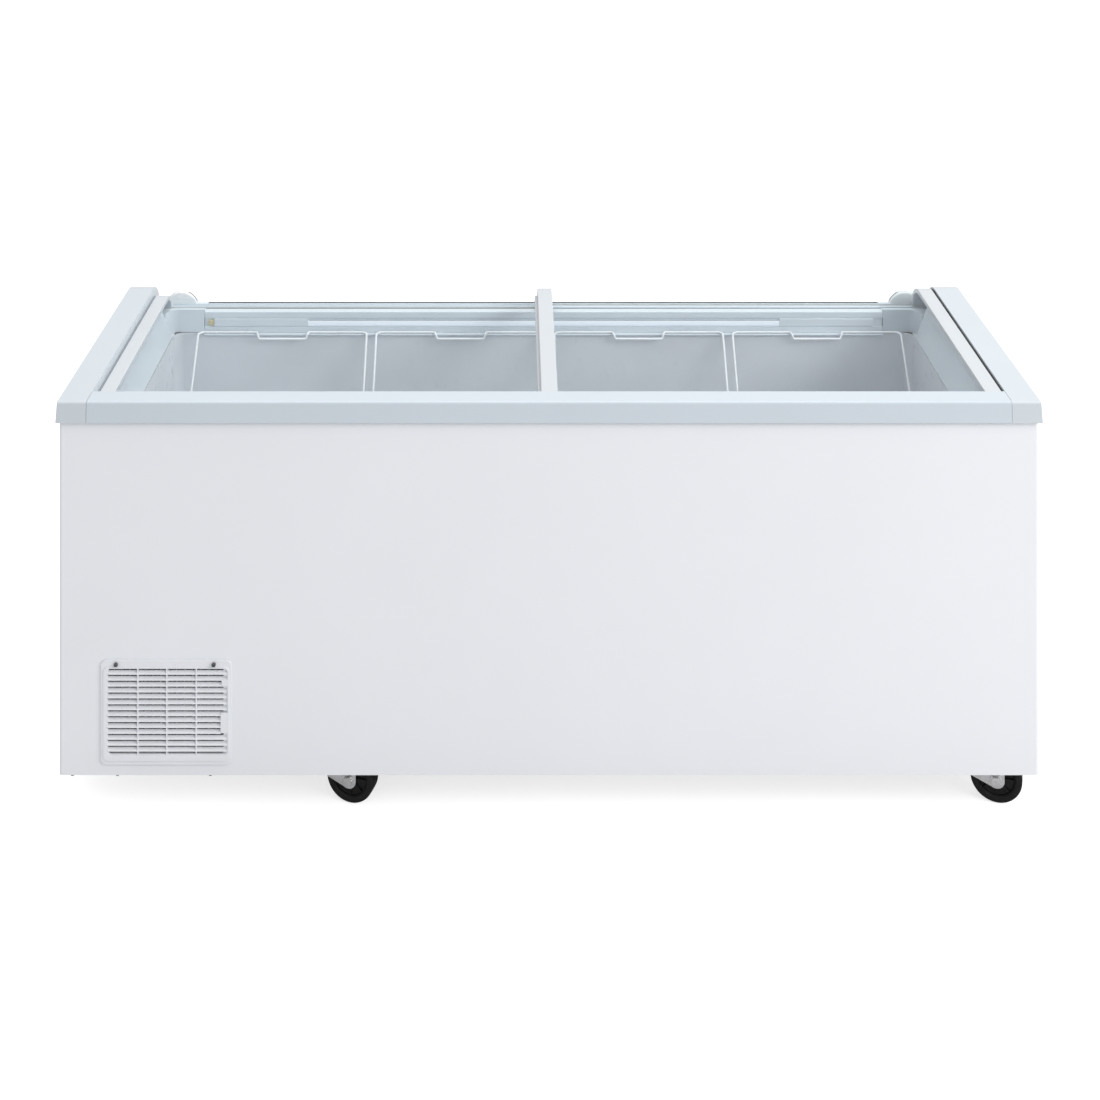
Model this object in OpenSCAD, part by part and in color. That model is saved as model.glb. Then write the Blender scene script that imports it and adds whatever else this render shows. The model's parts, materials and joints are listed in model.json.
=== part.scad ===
// Display chest freezer: white steel cabinet, grey plastic top frame,
// two sliding glass lids that curve down at the rear, four lift-out
// wire baskets, a louvred machine compartment at the left end and four
// swivel castors. Origin on the floor under the centre of the cabinet,
// +X to the right, +Y to the rear, +Z up. Millimetres.

/* [Cabinet] */
// Width across the top frame end caps
frame_w = 1850; // [1700:10:1950]
// Depth of the top frame from the front face to the rear tangent
frame_front = 320; // [320:1:322]
// Height of the top face of the frame above the floor
frame_top = 790; // [790:1:792]
// Thickness of the outer steel wrap
shell_t = 1; // [0.8:0.1:1.2]
// Bottom edge of the outer steel wrap above the floor
shell_bottom = 83; // [82:1:84]

/* [Lids] */
// Glass thickness
glass_t = 4; // [3.6:0.1:4]
// Radius of the rear bend, outer face of the upper glass
bend_r = 66; // [66:0.1:66.4]
// Width of the frame strip along each lid end
strip_w = 32; // [26:1:34]
// How far each closed lid reaches past the centre
lid_lap = 18; // [14:1:20]

/* [Baskets] */
// Width of one basket
basket_w = 381; // [370:1:385]
// Distance from one basket to the next
basket_pitch = 397.5; // [396:0.5:398]
// Height of one basket
basket_h = 225; // [180:5:230]
// Diameter of the frame wire
wire_d = 5; // [4:0.5:5]

/* [Castors] */
// Wheel radius
wheel_r = 48; // [44:1:48]
// Tread width
wheel_w = 32; // [28:1:32]
// Horizontal distance from the swivel axis to the axle
trail = 25; // [22:1:25]
// Axle diameter
axle_d = 8; // [8:0.5:8.5]

/* [Grille] */
// Width of the front louvred grille
grille_w = 247; // [240:1:250]
// Height of the front louvred grille
grille_h = 198; // [196:1:200]
// Number of louvre slots
slots = 15; // [12:1:15]

/* [Hidden] */
NODES = ["outer_shell", "base_panel", "foam_insulation", "inner_liner",
  "evaporator_tube", "compartment_panel", "front_rim", "front_breaker",
  "end_cap_left", "end_cap_right", "rear_rail", "corner_block_left",
  "corner_block_right", "corner_hoods", "side_trim_left", "side_trim_right",
  "lid_seals", "lamp_diffuser", "lamp_board", "lamp_end_covers",
  "lamp_connector", "upper_lid_glass", "upper_lid_strips",
  "upper_lid_runners", "lower_lid_glass", "lower_lid_strips",
  "lower_lid_runners", "basket_1", "basket_2", "basket_3", "basket_4",
  "compressor_tray", "compressor", "compressor_grommets", "condenser_fins",
  "condenser_tube", "fan_shroud", "fan_motor", "fan_blade", "start_relay",
  "filter_drier", "refrigerant_pipes", "front_grille", "rear_vent",
  "thermostat_body", "thermostat_knob", "power_cord", "drain_tube",
  "drain_plug", "screws", "castor_beams", "castor_plates",
  "castor_fork_fl", "castor_fork_fr", "castor_fork_rl", "castor_fork_rr",
  "castor_wheel_fl", "castor_wheel_fr", "castor_wheel_rl",
  "castor_wheel_rr"];
node = "all";

// Cabinet
frame_x = frame_w / 2;
wrap_x = frame_x - 2;     // half width of the steel wrap
wrap_y = 312;             // half depth of the steel wrap
shell_top = 750;
rear_top = 690;           // top of the wrap at the rear
panel_gap = 2.8;          // wrap's outer face to the sheets inside it
cap_x = frame_x - 55;     // inner face of the end caps
cap_r = 70;               // rear bend of the end caps
front_y = -frame_front;

// Tank: deep on the right, raised floor left of step_x
tank_x = 825;
tank_front = -262;
tank_rear = 258;
tank_floor = 190;
step_z = 440;
step_x = -545;
ledge_z = 684;
ring_heights = [for (i = [0:6]) 470 + 30 * i];  // evaporator rings
drain_x = 500;
drain_y = 120;

// Lids
bend_y = 236;             // axis of the rear bend
bend_z = frame_top - cap_r;
low_r = bend_r - 15;      // lower glass outer radius
lid_x = frame_x - 59;     // ends of the closed lids
upper_front = -270;       // front edges of the glass
lower_front = -259.5;
glass_z = 725.5;          // rear edge of the glass
rail_top = 730;
groove_z = 724;
front_groove = [280.8, 289.2];
rear_groove = [295.8, 304.2];
rail_end = 760;
lamp_rear = 262.9;

// Machine compartment
case_x = -586;            // its inner wall
case_z = 386;             // its top
grille_x = -844;          // left edge of the grille
grille_z = 104;           // bottom edge of the grille
grille_right = grille_x + grille_w;
grille_top = grille_z + grille_h;
grille_screws_x = [-814.5, -630.6];
grille_screw_z = 294.6;
condenser_y = -262;
condenser_z = 130;        // lowest tube row
row_pitch = 30;
fan_x = -730;
fan_z = 200;
comp_x = -752;            // compressor axis
comp_y = 120;
feet = [-60, 60];         // compressor feet either side of its axis
knob_x = -650;
cord_x = -850;
knob_z = 330;             // height of both holes in the rear vent

// Castors: x and y of the swivel axis, rest angle of the trail
castors = [[-399.2, -247, -18], [836.2, -247, -18], [-399.2, 247, 18], [836.2, 247, 18]];
axle_z = 48;
axle_r = axle_d / 2;

// Shared colours
white_steel = [0.93, 0.94, 0.96];
glass_tint = [0.75, 0.85, 0.9, 0.3];
strip_white = [0.9, 0.92, 0.94];
runner_white = [0.88, 0.9, 0.92];
copper = [0.72, 0.45, 0.25];
zinc = [0.78, 0.79, 0.8];

// ---------------------------------------------------------------- helpers
function arc(x, y, r, from, to, n) =
  [for (i = [0:n]) let (a = from + (to - from) * i / n) [x + r * cos(a), y + r * sin(a)]];
function round_rect(x0, y0, x1, y1, r, n = 6) = concat(
  arc(x1 - r, y0 + r, r, -90, 0, n), arc(x1 - r, y1 - r, r, 0, 90, n),
  arc(x0 + r, y1 - r, r, 90, 180, n), arc(x0 + r, y0 + r, r, 180, 270, n));

module box(low, high) { translate(low) cube(high - low); }
// outline of (y, z) points
module extrude_x(x0, x1, outline) {
  translate([x0, 0, 0]) rotate([90, 0, 90]) linear_extrude(height = x1 - x0) polygon(outline);
}
// outline of (x, z) points
module extrude_y(y0, y1, outline) {
  translate([0, y1, 0]) rotate([90, 0, 0]) linear_extrude(height = y1 - y0) polygon(outline);
}
// outline of (x, y) points
module extrude_z(z0, z1, outline) {
  translate([0, 0, z0]) linear_extrude(height = z1 - z0) polygon(outline);
}
module rod_x(x0, x1, y, z, r) {
  translate([x0, y, z]) rotate([0, 90, 0]) cylinder(r = r, h = x1 - x0, $fn = 24);
}
module rod_y(x, y0, y1, z, r) {
  translate([x, y0, z]) rotate([-90, 0, 0]) cylinder(r = r, h = y1 - y0, $fn = 24);
}
module rod_z(x, y, z0, z1, r) { translate([x, y, z0]) cylinder(r = r, h = z1 - z0, $fn = 24); }
// shape drawn for the right end, mirrored to the left when side is -1
module on_side(side) { mirror([side < 0 ? 1 : 0, 0, 0]) children(); }

// eight-sided wire from a to b, run on by extra at both ends
module bar(a, b, r, extra = 0) {
  v = b - a;
  length = norm(v);
  translate(a) rotate([0, acos(v[2] / length), atan2(v[1], v[0])]) translate([0, 0, -extra])
    rotate([0, 0, 22.5]) cylinder(r = r, h = length + 2 * extra, $fn = 8);
}
module path(points, r) {
  for (i = [0:len(points) - 2]) bar(points[i], points[i + 1], r, 0.45 * r);
}

// ---------------------------------------------------------------- cabinet
function wrap_outline(inset_x, inset_y, r) =
  round_rect(-wrap_x + inset_x, -wrap_y + inset_y, wrap_x - inset_x, wrap_y - inset_y, r);

module outer_shell() color(white_steel) difference() {
  extrude_z(shell_bottom, shell_top, wrap_outline(0, 0, 5));
  // hollow inside, leaving an inward flange at the top and at the bottom
  extrude_z(shell_bottom + shell_t, shell_top - shell_t, wrap_outline(shell_t, shell_t, 4));
  extrude_z(shell_bottom + 5, shell_top + 1, wrap_outline(16, 14, 3));
  extrude_z(shell_bottom - 1, shell_bottom + 6, wrap_outline(16, shell_t, 3));
  // the wrap is lower at the rear, under the bent end of the lids
  box([-wrap_x - 1, 226, rear_top], [wrap_x + 1, wrap_y + 1, shell_top + 1]);
  // opening behind the front grille
  box([grille_x + 14, -wrap_y - 1, grille_z + 20],
    [grille_right - 16, -wrap_y + 3, grille_top - 15]);
  // opening behind the rear vent
  box([-886, wrap_y - 3, 112], [-612, wrap_y + 1, 352]);
  // screw holes of the front grille
  for (x = grille_screws_x) rod_y(x, -wrap_y - 1, -wrap_y + 3, grille_screw_z, 2.1);
}

module base_panel() color([0.62, 0.64, 0.66]) difference() {
  box([case_x + 2, -wrap_y + panel_gap, 125], [wrap_x - panel_gap, wrap_y - panel_gap, 126]);
  rod_z(drain_x, drain_y, 120, 130, 14);
}

// inside of the tank grown by wall on every side
module tank_body(wall, top) {
  box([step_x - wall, tank_front - wall, tank_floor - wall],
    [tank_x + wall, tank_rear + wall, top]);
  box([-tank_x - wall, tank_front - wall, step_z - wall],
    [tank_x + wall, tank_rear + wall, top]);
}

module foam_insulation() color([0.93, 0.87, 0.68]) difference() {
  extrude_z(126.5, 745, wrap_outline(shell_t + 0.5, shell_t + 0.5, 4));
  // machine compartment
  box([-wrap_x, -wrap_y, 100], [case_x + 1.5, wrap_y, case_z + 1.5]);
  tank_body(1.2, 800);
  // seats of the top frame
  box([-872, -276, 682.8], [872, 262, 760]);
  box([-845, -276, 680.3], [845, -250, 700]);
  box([-wrap_x, 224, 653], [wrap_x, wrap_y, 760]);
  // channels for the evaporator tube
  for (z = ring_heights) translate([0, 0, z]) difference() {
    box([-tank_x - 13, tank_front - 13, -6], [tank_x + 13, tank_rear + 13, 6]);
    box([-tank_x, tank_front, -8], [tank_x, tank_rear, 8]);
  }
  // upright channel in the left wall
  box([-tank_x - 13, 100, 470], [-tank_x, 114, 660]);
  rod_z(drain_x, drain_y, 100, 200, 15);
  // passage for the pipe out of the compartment
  box([-760, 60, 380], [-744, 76, 442]);
}

module inner_liner() color([0.88, 0.9, 0.92]) difference() {
  union() {
    tank_body(1, ledge_z);
    box([-tank_x - 15, tank_front - 12, ledge_z - 1], [tank_x + 15, tank_rear + 1, ledge_z]);
  }
  box([step_x, tank_front, tank_floor], [tank_x, tank_rear, ledge_z + 5]);
  box([-tank_x, tank_front, step_z], [tank_x, tank_rear, ledge_z + 5]);
  rod_z(drain_x, drain_y, tank_floor - 5, tank_floor + 5, 12);
  // the frame's inner lips take the place of the top of the long walls
  box([-rail_end - 0.2, tank_rear - 1, 654.6], [rail_end + 0.2, tank_rear + 5, 700]);
  box([-tank_x - 13, -290, 680.6], [tank_x + 13, -250.5, 700]);
}

// closed rings of tube round the tank, one above another
module evaporator_tube() color([0.75, 0.75, 0.78]) {
  r = 4;
  bend = 8;
  x = tank_x + 6.5;
  y0 = tank_front - 6.5;
  y1 = tank_rear + 6.5;
  // corner bends: x and y of the centre, start angle
  corners = [[x - bend, y1 - bend, 0], [-x + bend, y1 - bend, 90],
    [-x + bend, y0 + bend, 180], [x - bend, y0 + bend, 270]];
  for (z = ring_heights) translate([0, 0, z]) {
    rod_x(-x + bend, x - bend, y0, 0, r);
    rod_x(-x + bend, x - bend, y1, 0, r);
    rod_y(x, y0 + bend, y1 - bend, 0, r);
    rod_y(-x, y0 + bend, y1 - bend, 0, r);
    for (c = corners)
      translate([c[0], c[1], 0]) rotate([0, 0, c[2]]) rotate_extrude(angle = 90, $fn = 32)
        translate([bend, 0]) circle(r = r, $fn = 24);
  }
}

// folded sheet that separates the machine compartment from the tank
module compartment_panel() color([0.66, 0.68, 0.7]) difference() {
  left = -wrap_x + panel_gap;
  extrude_y(-wrap_y + panel_gap, wrap_y - panel_gap, [[left, case_z], [left, case_z + 1],
    [case_x + 1, case_z + 1], [case_x + 1, 126], [case_x + 1, 98], [case_x, 98],
    [case_x, case_z]]);
  rod_z(comp_x, 68, case_z - 2, case_z + 3, 6);
}

// ---------------------------------------------------------------- top frame
module front_rim() color([0.79, 0.83, 0.87])
  extrude_x(-cap_x + 0.3, cap_x - 0.3, concat(
    [[front_y - 2, 750], [front_y - 2.2, 752]],
    arc(front_y + 4, frame_top - 4, 4, 180, 90, 5),
    [[-276, frame_top], [-274, frame_top - 2], [-274, 776], [-262, 776], [-262, 761],
     [-250, 761], [-250, 757.5], [-277, 757.5], [-277, 772], [-277, frame_top - 3.5],
     [front_y + 4, frame_top - 3.5], [front_y + 1.6, frame_top - 6], [front_y + 1, 754],
     [-314, 753], [-314, 750.2]]));

module front_breaker() color([0.8, 0.84, 0.88])
  extrude_x(-tank_x - 12, tank_x + 12, [
    [-272, 681], [-251, 681], [-251, 684], [-262, 684], [-262, 687], [-260.6, 692],
    [-260.6, 757], [-263.6, 757], [-263.6, 693], [-265.5, 687], [-272, 687]]);

// side view of an end cap, drawn in by inset: level top, quarter round at the rear
function cap_side(inset, front_r) = concat(
  [[front_y - 2 + inset, 749], [front_y - 2 + inset, 752]],
  arc(front_y + 4 + inset, frame_top - 4 - inset, front_r, 180, 90, 5),
  arc(bend_y, bend_z, cap_r - inset, 90, 0, 12),
  [[bend_y + cap_r - inset, rear_top - 1], [227 + inset, rear_top - 1], [227 + inset, 749]]);

module end_cap(side) color([0.85, 0.88, 0.91]) on_side(side) difference() {
  wall = 3;
  intersection() {
    extrude_x(cap_x, frame_x + 6, cap_side(0, 4));
    // front view, rounded at the outer top edge
    extrude_y(-330, 320, concat([[cap_x, rear_top], [cap_x, frame_top]],
      arc(frame_x - 5, frame_top - 5, 5, 90, 8, 5),
      [[frame_x + 4, shell_top], [frame_x + 4, rear_top]]));
    // above the wrap, and down to its lower top at the rear
    union() {
      box([cap_x - 1, -330, shell_top], [frame_x + 10, 400, frame_top + 1]);
      box([cap_x - 1, 226.5, rear_top], [frame_x + 10, 400, frame_top + 1]);
    }
  }
  // hollow inside
  intersection() {
    extrude_x(cap_x + wall, frame_x + 6, cap_side(wall, 1));
    box([cap_x + wall, -325, rear_top - 1], [frame_x + 1, 400, frame_top - wall]);
    box([cap_x - 1, -330, shell_top - 1], [frame_x + 10, 400, frame_top + 1]);
  }
  // hollow of the lower rear part
  box([cap_x + wall, 230, rear_top - 2], [frame_x - 1, 303, shell_top + 4]);
}
module end_cap_left() { end_cap(-1); }
module end_cap_right() { end_cap(1); }

// extruded rail with one groove for each lid
module rear_rail() color([0.78, 0.82, 0.86]) extrude_x(-rail_end, rail_end, [
  [260, 655], [259, 676], [250, 681], [250, 684], [260, 684], [260, 697], [263, 697],
  [263, 716], [260, 716], [260, 728.5], [261.5, rail_top],
  [front_groove[0], rail_top], [front_groove[0], groove_z],
  [front_groove[1], groove_z], [front_groove[1], rail_top],
  [rear_groove[0], rail_top], [rear_groove[0], groove_z],
  [rear_groove[1], groove_z], [rear_groove[1], rail_top],
  [315, rail_top], [316, 729], [316, 691], [314, 690.3], [313, 690.3],
  [312.6, 720.5], [264.5, 720.5], [264.5, 655]]);

// inside corner piece that carries the grooves to the end cap
module corner_block(side) color([0.76, 0.81, 0.85]) on_side(side) difference() {
  extrude_z(690.5, rail_top, concat([[rail_end + 0.3, 260]], arc(814, 234, 26, 90, 0, 8),
    [[840, 226.5], [cap_x - 0.3, 226.5], [cap_x - 0.3, 316], [rail_end + 0.3, 316]]));
  for (groove = [front_groove, rear_groove])
    box([700, groove[0], groove_z], [900, groove[1], 740]);
}
module corner_block_left() { corner_block(-1); }
module corner_block_right() { corner_block(1); }

// rounded hoods behind the lid track at both rear corners
module corner_hoods() color(white_steel) for (side = [-1, 1]) intersection() {
  x = side * 822;
  translate([x, 317, 718]) sphere(r = 38, $fn = 64);
  box([x - 40, 305.5, 730.3], [x + 40, 322, 790]);
}

module side_trim(side) color([0.8, 0.84, 0.88]) on_side(side)
  extrude_y(-250, 226, [
    [826, 684.4], [827, 688], [848, 748], [852, 753], [866, 757.5], [cap_x - 0.4, 757.5],
    [cap_x - 0.4, 754.5], [868, 754.5], [854.5, 750.5], [851.5, 747], [831, 688],
    [838, 687.4], [838, 684.4]]);
module side_trim_left() { side_trim(-1); }
module side_trim_right() { side_trim(1); }

// side view of a band along a lid: level from y0, round the rear bend, down to z0
function band(inner_r, outer_r, y0, z0) = concat(
  [[y0, bend_z + outer_r]],
  arc(bend_y, bend_z, outer_r, 90, asin((z0 - bend_z) / outer_r), 12),
  arc(bend_y, bend_z, inner_r, asin((z0 - bend_z) / inner_r), 90, 12),
  [[y0, bend_z + inner_r]]);

module lid_seals() color([0.12, 0.13, 0.14]) {
  extrude_x(cap_x - 3.4, cap_x - 0.1, band(bend_r - 9, bend_r, -270, 731));
  extrude_x(-cap_x + 0.1, -cap_x + 3.4, band(low_r - 9, low_r, -258, 731));
}

// ---------------------------------------------------------------- lamp
module lamp_diffuser() color([0.93, 0.95, 0.97]) difference() {
  box([-528, 259.2, 698], [528, lamp_rear, 711.6]);
  box([-527, 260.4, 699.2], [527, 264, 710.4]);
}
// strip with a row of small blocks on its front face
module lamp_board() color([0.9, 0.9, 0.85]) union() {
  pitch = 41;
  box([-520, 262.1, 700.5], [520, lamp_rear, 709.5]);
  for (i = [-12:12]) box([i * pitch - 2, 260.8, 703.5], [i * pitch + 2, 262.2, 706.5]);
}
module lamp_end_covers() color([0.84, 0.87, 0.9]) for (side = [-1, 1]) on_side(side)
  box([528.3, 258.8, 697.3], [738, lamp_rear, 715.7]);
module lamp_connector() color([0.86, 0.82, 0.66]) difference() {
  box([-750, 257.6, 700], [-739, lamp_rear, 712]);
  box([-748.5, 257, 702], [-740.5, 259, 710]);
}

// ---------------------------------------------------------------- lids
// the upper lid closes the right half, the lower lid the left half
module lid_glass(x0, x1, r, front) { extrude_x(x0, x1, band(r - glass_t, r, front, glass_z)); }

// strip over span = [x0, x1], slotted over slot = [x0, x1] for the glass
module lid_strip(span, slot, r, front) difference() {
  extrude_x(span[0], span[1], band(r - 9, r + 1, front - 1.5, 731.2));
  extrude_x(slot[0], slot[1], band(r - glass_t - 0.1, r + 0.1, front - 2.5, glass_z));
}

// glides on the front ledge and in the rear groove
module lid_runners(x0, x1, r, front) {
  under = r - glass_t;
  box([x0, front, bend_z + under - 5.7], [x1, front + 7, bend_z + under - 0.1]);
  difference() {
    box([x0, bend_y + r - 5.6, 724.3], [x1, bend_y + r + 1.6, 730.9]);
    extrude_x(x0 - 1, x1 + 1, band(under - 0.2, r + 0.2, 200, glass_z));
    box([x0 - 1, bend_y + under - 0.6, 725.2], [x1 + 1, bend_y + r + 0.1, 728]);
  }
}

module upper_lid_glass() color(glass_tint)
  lid_glass(-lid_lap + 8, lid_x - 4, bend_r, upper_front);
module upper_lid_strips() color(strip_white) {
  lid_strip([-14, 18], [-10.1, 19], bend_r, upper_front);
  lid_strip([lid_x - strip_w, lid_x], [lid_x - strip_w - 1, lid_x - 3.9], bend_r, upper_front);
}
module upper_lid_runners() color(runner_white)
  lid_runners(18.2, lid_x - strip_w - 0.2, bend_r, upper_front);

module lower_lid_glass() color(glass_tint) lid_glass(-lid_x + 4, 8, low_r, lower_front);
module lower_lid_strips() color(strip_white) {
  lid_strip([-20, 12], [-21, 8.1], low_r, lower_front);
  lid_strip([-lid_x, -lid_x + strip_w - 3], [-lid_x + 3.9, -lid_x + strip_w],
    low_r, lower_front);
}
module lower_lid_runners() color(runner_white)
  lid_runners(-lid_x + strip_w - 2.8, -20.2, low_r, lower_front);

// ---------------------------------------------------------------- baskets
// flat panel: top wire a-b, bottom wire d-c, both ends and n uprights
module panel(a, b, c, d, n, top_r) {
  bottom_r = 2;
  bar(a, b, top_r, 0.45 * top_r);
  bar(d, c, bottom_r, 0.45 * bottom_r);
  bar(a, d, 2);
  bar(b, c, 2);
  for (k = [1:n]) bar(a + (b - a) * k / (n + 1), d + (c - d) * k / (n + 1), 1.5);
}

// basket number i, counted from 0 at the left
module basket(i) color([0.93, 0.94, 0.95]) {
  r = wire_d / 2;
  w = basket_w / 2 - r;
  rear = 254;
  front = -257;
  tray_rear = rear - 94;
  tray_front = front + 94;
  hang_z = ledge_z + r + 0.3;
  rim_z = hang_z - 102;
  floor_z = hang_z - basket_h;
  // outermost y of the hanger, side, y at the top of its legs, y of the tray rim
  hangers = [[rear, 1, 244.9, tray_rear], [front, -1, -247.9, tray_front]];
  translate([-583 + i * basket_pitch, 0, 0]) {
    // two hangers: wire on the ledge, finger dip and a sloping leg at both ends
    for (h = hangers) {
      leg_y = h[2];
      dip_y = leg_y - h[1] * 2.3;
      // the legs stop just clear of the tray's rim wire
      t = (2 * r + 0.3 + 0.45 * r) / norm([leg_y - h[3], hang_z - rim_z]);
      end_y = h[3] + (leg_y - h[3]) * t;
      end_z = rim_z + (hang_z - rim_z) * t;
      path([[-w, end_y, end_z], [-w, leg_y, hang_z], [-w + 8, h[0], hang_z],
        [-58, h[0], hang_z], [-56, leg_y, hang_z], [-52, dip_y, hang_z - 10.5],
        [52, dip_y, hang_z - 10.5], [56, leg_y, hang_z], [58, h[0], hang_z],
        [w - 8, h[0], hang_z], [w, leg_y, hang_z], [w, end_y, end_z]], r);
    }
    // tray: four flat wire panels and a flat wire floor, welded at the corners
    for (s = [-1, 1]) {
      x = s * w;
      low_x = s * (w - 12);
      panel([x, tray_front, rim_z], [x, tray_rear, rim_z],
        [low_x, tray_rear - 10, floor_z], [low_x, tray_front + 10, floor_z], 7, r);
      y = s > 0 ? tray_rear : tray_front;
      low_y = y - s * 10;
      panel([-w + 4.8, y, rim_z], [w - 4.8, y, rim_z],
        [w - 16.4, low_y, floor_z], [-w + 16.4, low_y, floor_z], 9, r);
    }
    x1 = w - 15.9;
    y0 = tray_front + 13.9;
    y1 = tray_rear - 13.9;
    for (k = [-4:4]) bar([k * x1 / 4, y0, floor_z], [k * x1 / 4, y1, floor_z], 1.3, 0.4);
    for (k = [0:6]) {
      y = y0 + (y1 - y0) * k / 6;
      bar([-x1, y, floor_z], [x1, y, floor_z], 1.5, 0.5);
    }
  }
}
module basket_1() { basket(0); }
module basket_2() { basket(1); }
module basket_3() { basket(2); }
module basket_4() { basket(3); }

// ---------------------------------------------------------------- machine compartment
// sheet with an upturned flange at the front and at the rear
module compressor_tray() color([0.4, 0.42, 0.45]) difference() {
  x0 = -wrap_x + 4;
  x1 = case_x - 1;
  union() {
    box([x0, -296, 84.5], [x1, 296, 86.5]);
    box([x0, -296, 86.5], [x1, -294, 98]);
    box([x0, 294, 86.5], [x1, 296, 98]);
  }
  for (x = feet, y = feet) rod_z(comp_x + x, comp_y + y, 80, 90, 5);
}

module compressor() color([0.1, 0.1, 0.11]) difference() {
  union() {
    // can, as (radius, z)
    translate([comp_x, comp_y, 0]) rotate_extrude($fn = 48) polygon(concat(
      [[0, 112], [40, 112], [66, 124]], arc(62, 140, 14, -40, 0, 3),
      [[76, 190], [78, 190], [78, 196], [75, 196]], arc(45, 240, 30, 0, 70, 5),
      [[30, 272], [0, 274]]));
    // foot plate
    extrude_z(104, 106.5,
      round_rect(comp_x - 74, comp_y - 74, comp_x + 74, comp_y + 74, 12, 3));
    rod_z(comp_x, comp_y, 106, 114, 36);
    rod_x(comp_x - 86, comp_x - 70, comp_y, 228, 3.5);
  }
  for (x = feet, y = feet) rod_z(comp_x + x, comp_y + y, 100, 110, 5.2);
}
module compressor_grommets() color([0.07, 0.07, 0.07])
  for (x = feet, y = feet) translate([comp_x + x, comp_y + y, 0]) rotate_extrude($fn = 24)
    polygon([[2.5, 86.5], [10, 86.5], [11, 92], [9, 97], [10, 103.9], [2.5, 103.9]]);

module condenser_fins() color([0.72, 0.74, 0.76]) for (i = [0:13]) difference() {
  x = -828 + i * 15;
  box([x, -284, 108], [x + 0.8, -240, 300]);
  for (k = [0:5]) translate([x - 2, condenser_y, condenser_z + k * row_pitch])
    rotate([0, 90, 0]) cylinder(r = 4.2, h = 6, $fn = 20);
}
// straight rows joined by half-round bends at alternate ends
module condenser_tube() color([0.15, 0.15, 0.16]) {
  left = -834;
  right = -626;
  for (k = [0:5]) rod_x(left, right, condenser_y, condenser_z + k * row_pitch, 4);
  for (k = [0:4])
    translate([k % 2 == 0 ? right : left, condenser_y, condenser_z + (k + 0.5) * row_pitch])
      rotate([90, 0, 0]) rotate([0, 0, k % 2 == 0 ? -90 : 90])
        rotate_extrude(angle = 180, $fn = 32) translate([row_pitch / 2, 0])
          circle(r = 4, $fn = 20);
}

module fan_shroud() color([0.2, 0.21, 0.22]) difference() {
  union() {
    box([-840, -232, 100], [-612, -230, 312]);
    rod_y(fan_x, -230, -196, fan_z, 92);
    box([-840, -232, 98], [-612, -200, 100]);
  }
  rod_y(fan_x, -240, -190, fan_z, 90);
}
// motor, shaft, two arms and a square plate
module fan_motor() color([0.3, 0.3, 0.32]) union() {
  rod_y(fan_x, -186, -140, fan_z, 28);
  rod_y(fan_x, -210, -186, fan_z, 2.5);
  box([-823, -195.8, 196], [fan_x - 20, -186, 204]);
  box([fan_x + 20, -195.8, 196], [-638.4, -186, 204]);
  box([fan_x - 24, -195.8, 176], [fan_x + 24, -186, 224]);
}
module fan_blade() color([0.16, 0.16, 0.17]) difference() {
  union() {
    rod_y(fan_x, -225, -198, fan_z, 20);
    for (i = [0:4]) translate([fan_x, 0, fan_z]) rotate([0, i * 72, 0])
      translate([0, -212, 0]) rotate([0, 0, 24]) translate([-24, -1, 14]) cube([48, 2, 66]);
  }
  rod_y(fan_x, -226, -197, fan_z, 2.55);
}

module start_relay() color([0.12, 0.12, 0.13]) difference() {
  extrude_z(150, 215,
    round_rect(comp_x + 80, comp_y - 28, comp_x + 118, comp_y + 28, 5, 3));
  rod_x(comp_x + 100, comp_x + 130, comp_y, 170, 5);
}
module filter_drier() color(copper) translate([-880, -120, 0]) rotate_extrude($fn = 24)
  polygon([[0, 150], [3, 150], [3, 158], [9, 166], [9, 230], [3, 238], [3, 246], [0, 246]]);
module refrigerant_pipes() color(copper) {
  // drier to the tank
  path([[-880, -120, 247.4], [-880, -120, 340], [-880, 68, 352], [comp_x, 68, 352],
    [comp_x, 68, 436]], 2.5);
  // drier to the lowest condenser row
  path([[-880, -120, 148.6], [-880, -120, 128], [-843, condenser_y, 130],
    [-836.3, condenser_y, 130]], 2.5);
  // compressor to the top condenser row
  path([[-840.3, comp_y, 228], [-870, comp_y, 228], [-870, -200, 290],
    [-843, condenser_y, 280], [-836.5, condenser_y, 280]], 3);
}

// louvred plastic grille with four columns of sloping slats
module louvre_slat() {
  front = -wrap_y - 4.6;
  back = -wrap_y + 1.4;
  extrude_x(grille_x + 10, grille_right - 6, [[front, 0], [front, 2.2], [back, 3.9], [back, 1.7]]);
}
module front_grille() color([0.95, 0.96, 0.97]) difference() {
  face = -wrap_y;
  union() {
    extrude_y(face - 3.2, face - 0.1,
      round_rect(grille_x, grille_z, grille_right, grille_top, 12));
    extrude_y(face - 5, face - 3.1,
      round_rect(grille_x + 5, grille_z + 8, grille_right - 4, grille_top - 13, 10));
    box([grille_x + 16, face - 0.2, grille_z + 21],
      [grille_right - 18, face + 5, grille_top - 16]);
  }
  // the opening, less the parts that stay solid in it
  difference() {
    extrude_y(face - 8, face + 8,
      round_rect(grille_x + 14, grille_z + 21, grille_right - 9.5, grille_top - 15.6, 8));
    for (x = [-773.6, -719.2, -663.8])
      box([x - 1.6, face - 4.6, grille_z], [x + 1.6, face + 8, grille_top]);
    for (i = [0:slots]) translate([0, 0, 118.9 + i * 11.12]) louvre_slat();
    // two pads at the right edge
    box([-618, face - 4.8, 165], [-600, face + 5, 203]);
    box([-616, face - 4.8, 254], [-600, face + 5, 266]);
  }
  for (x = grille_screws_x) rod_y(x, face - 9, face + 2, grille_screw_z, 2.1);
}

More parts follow.
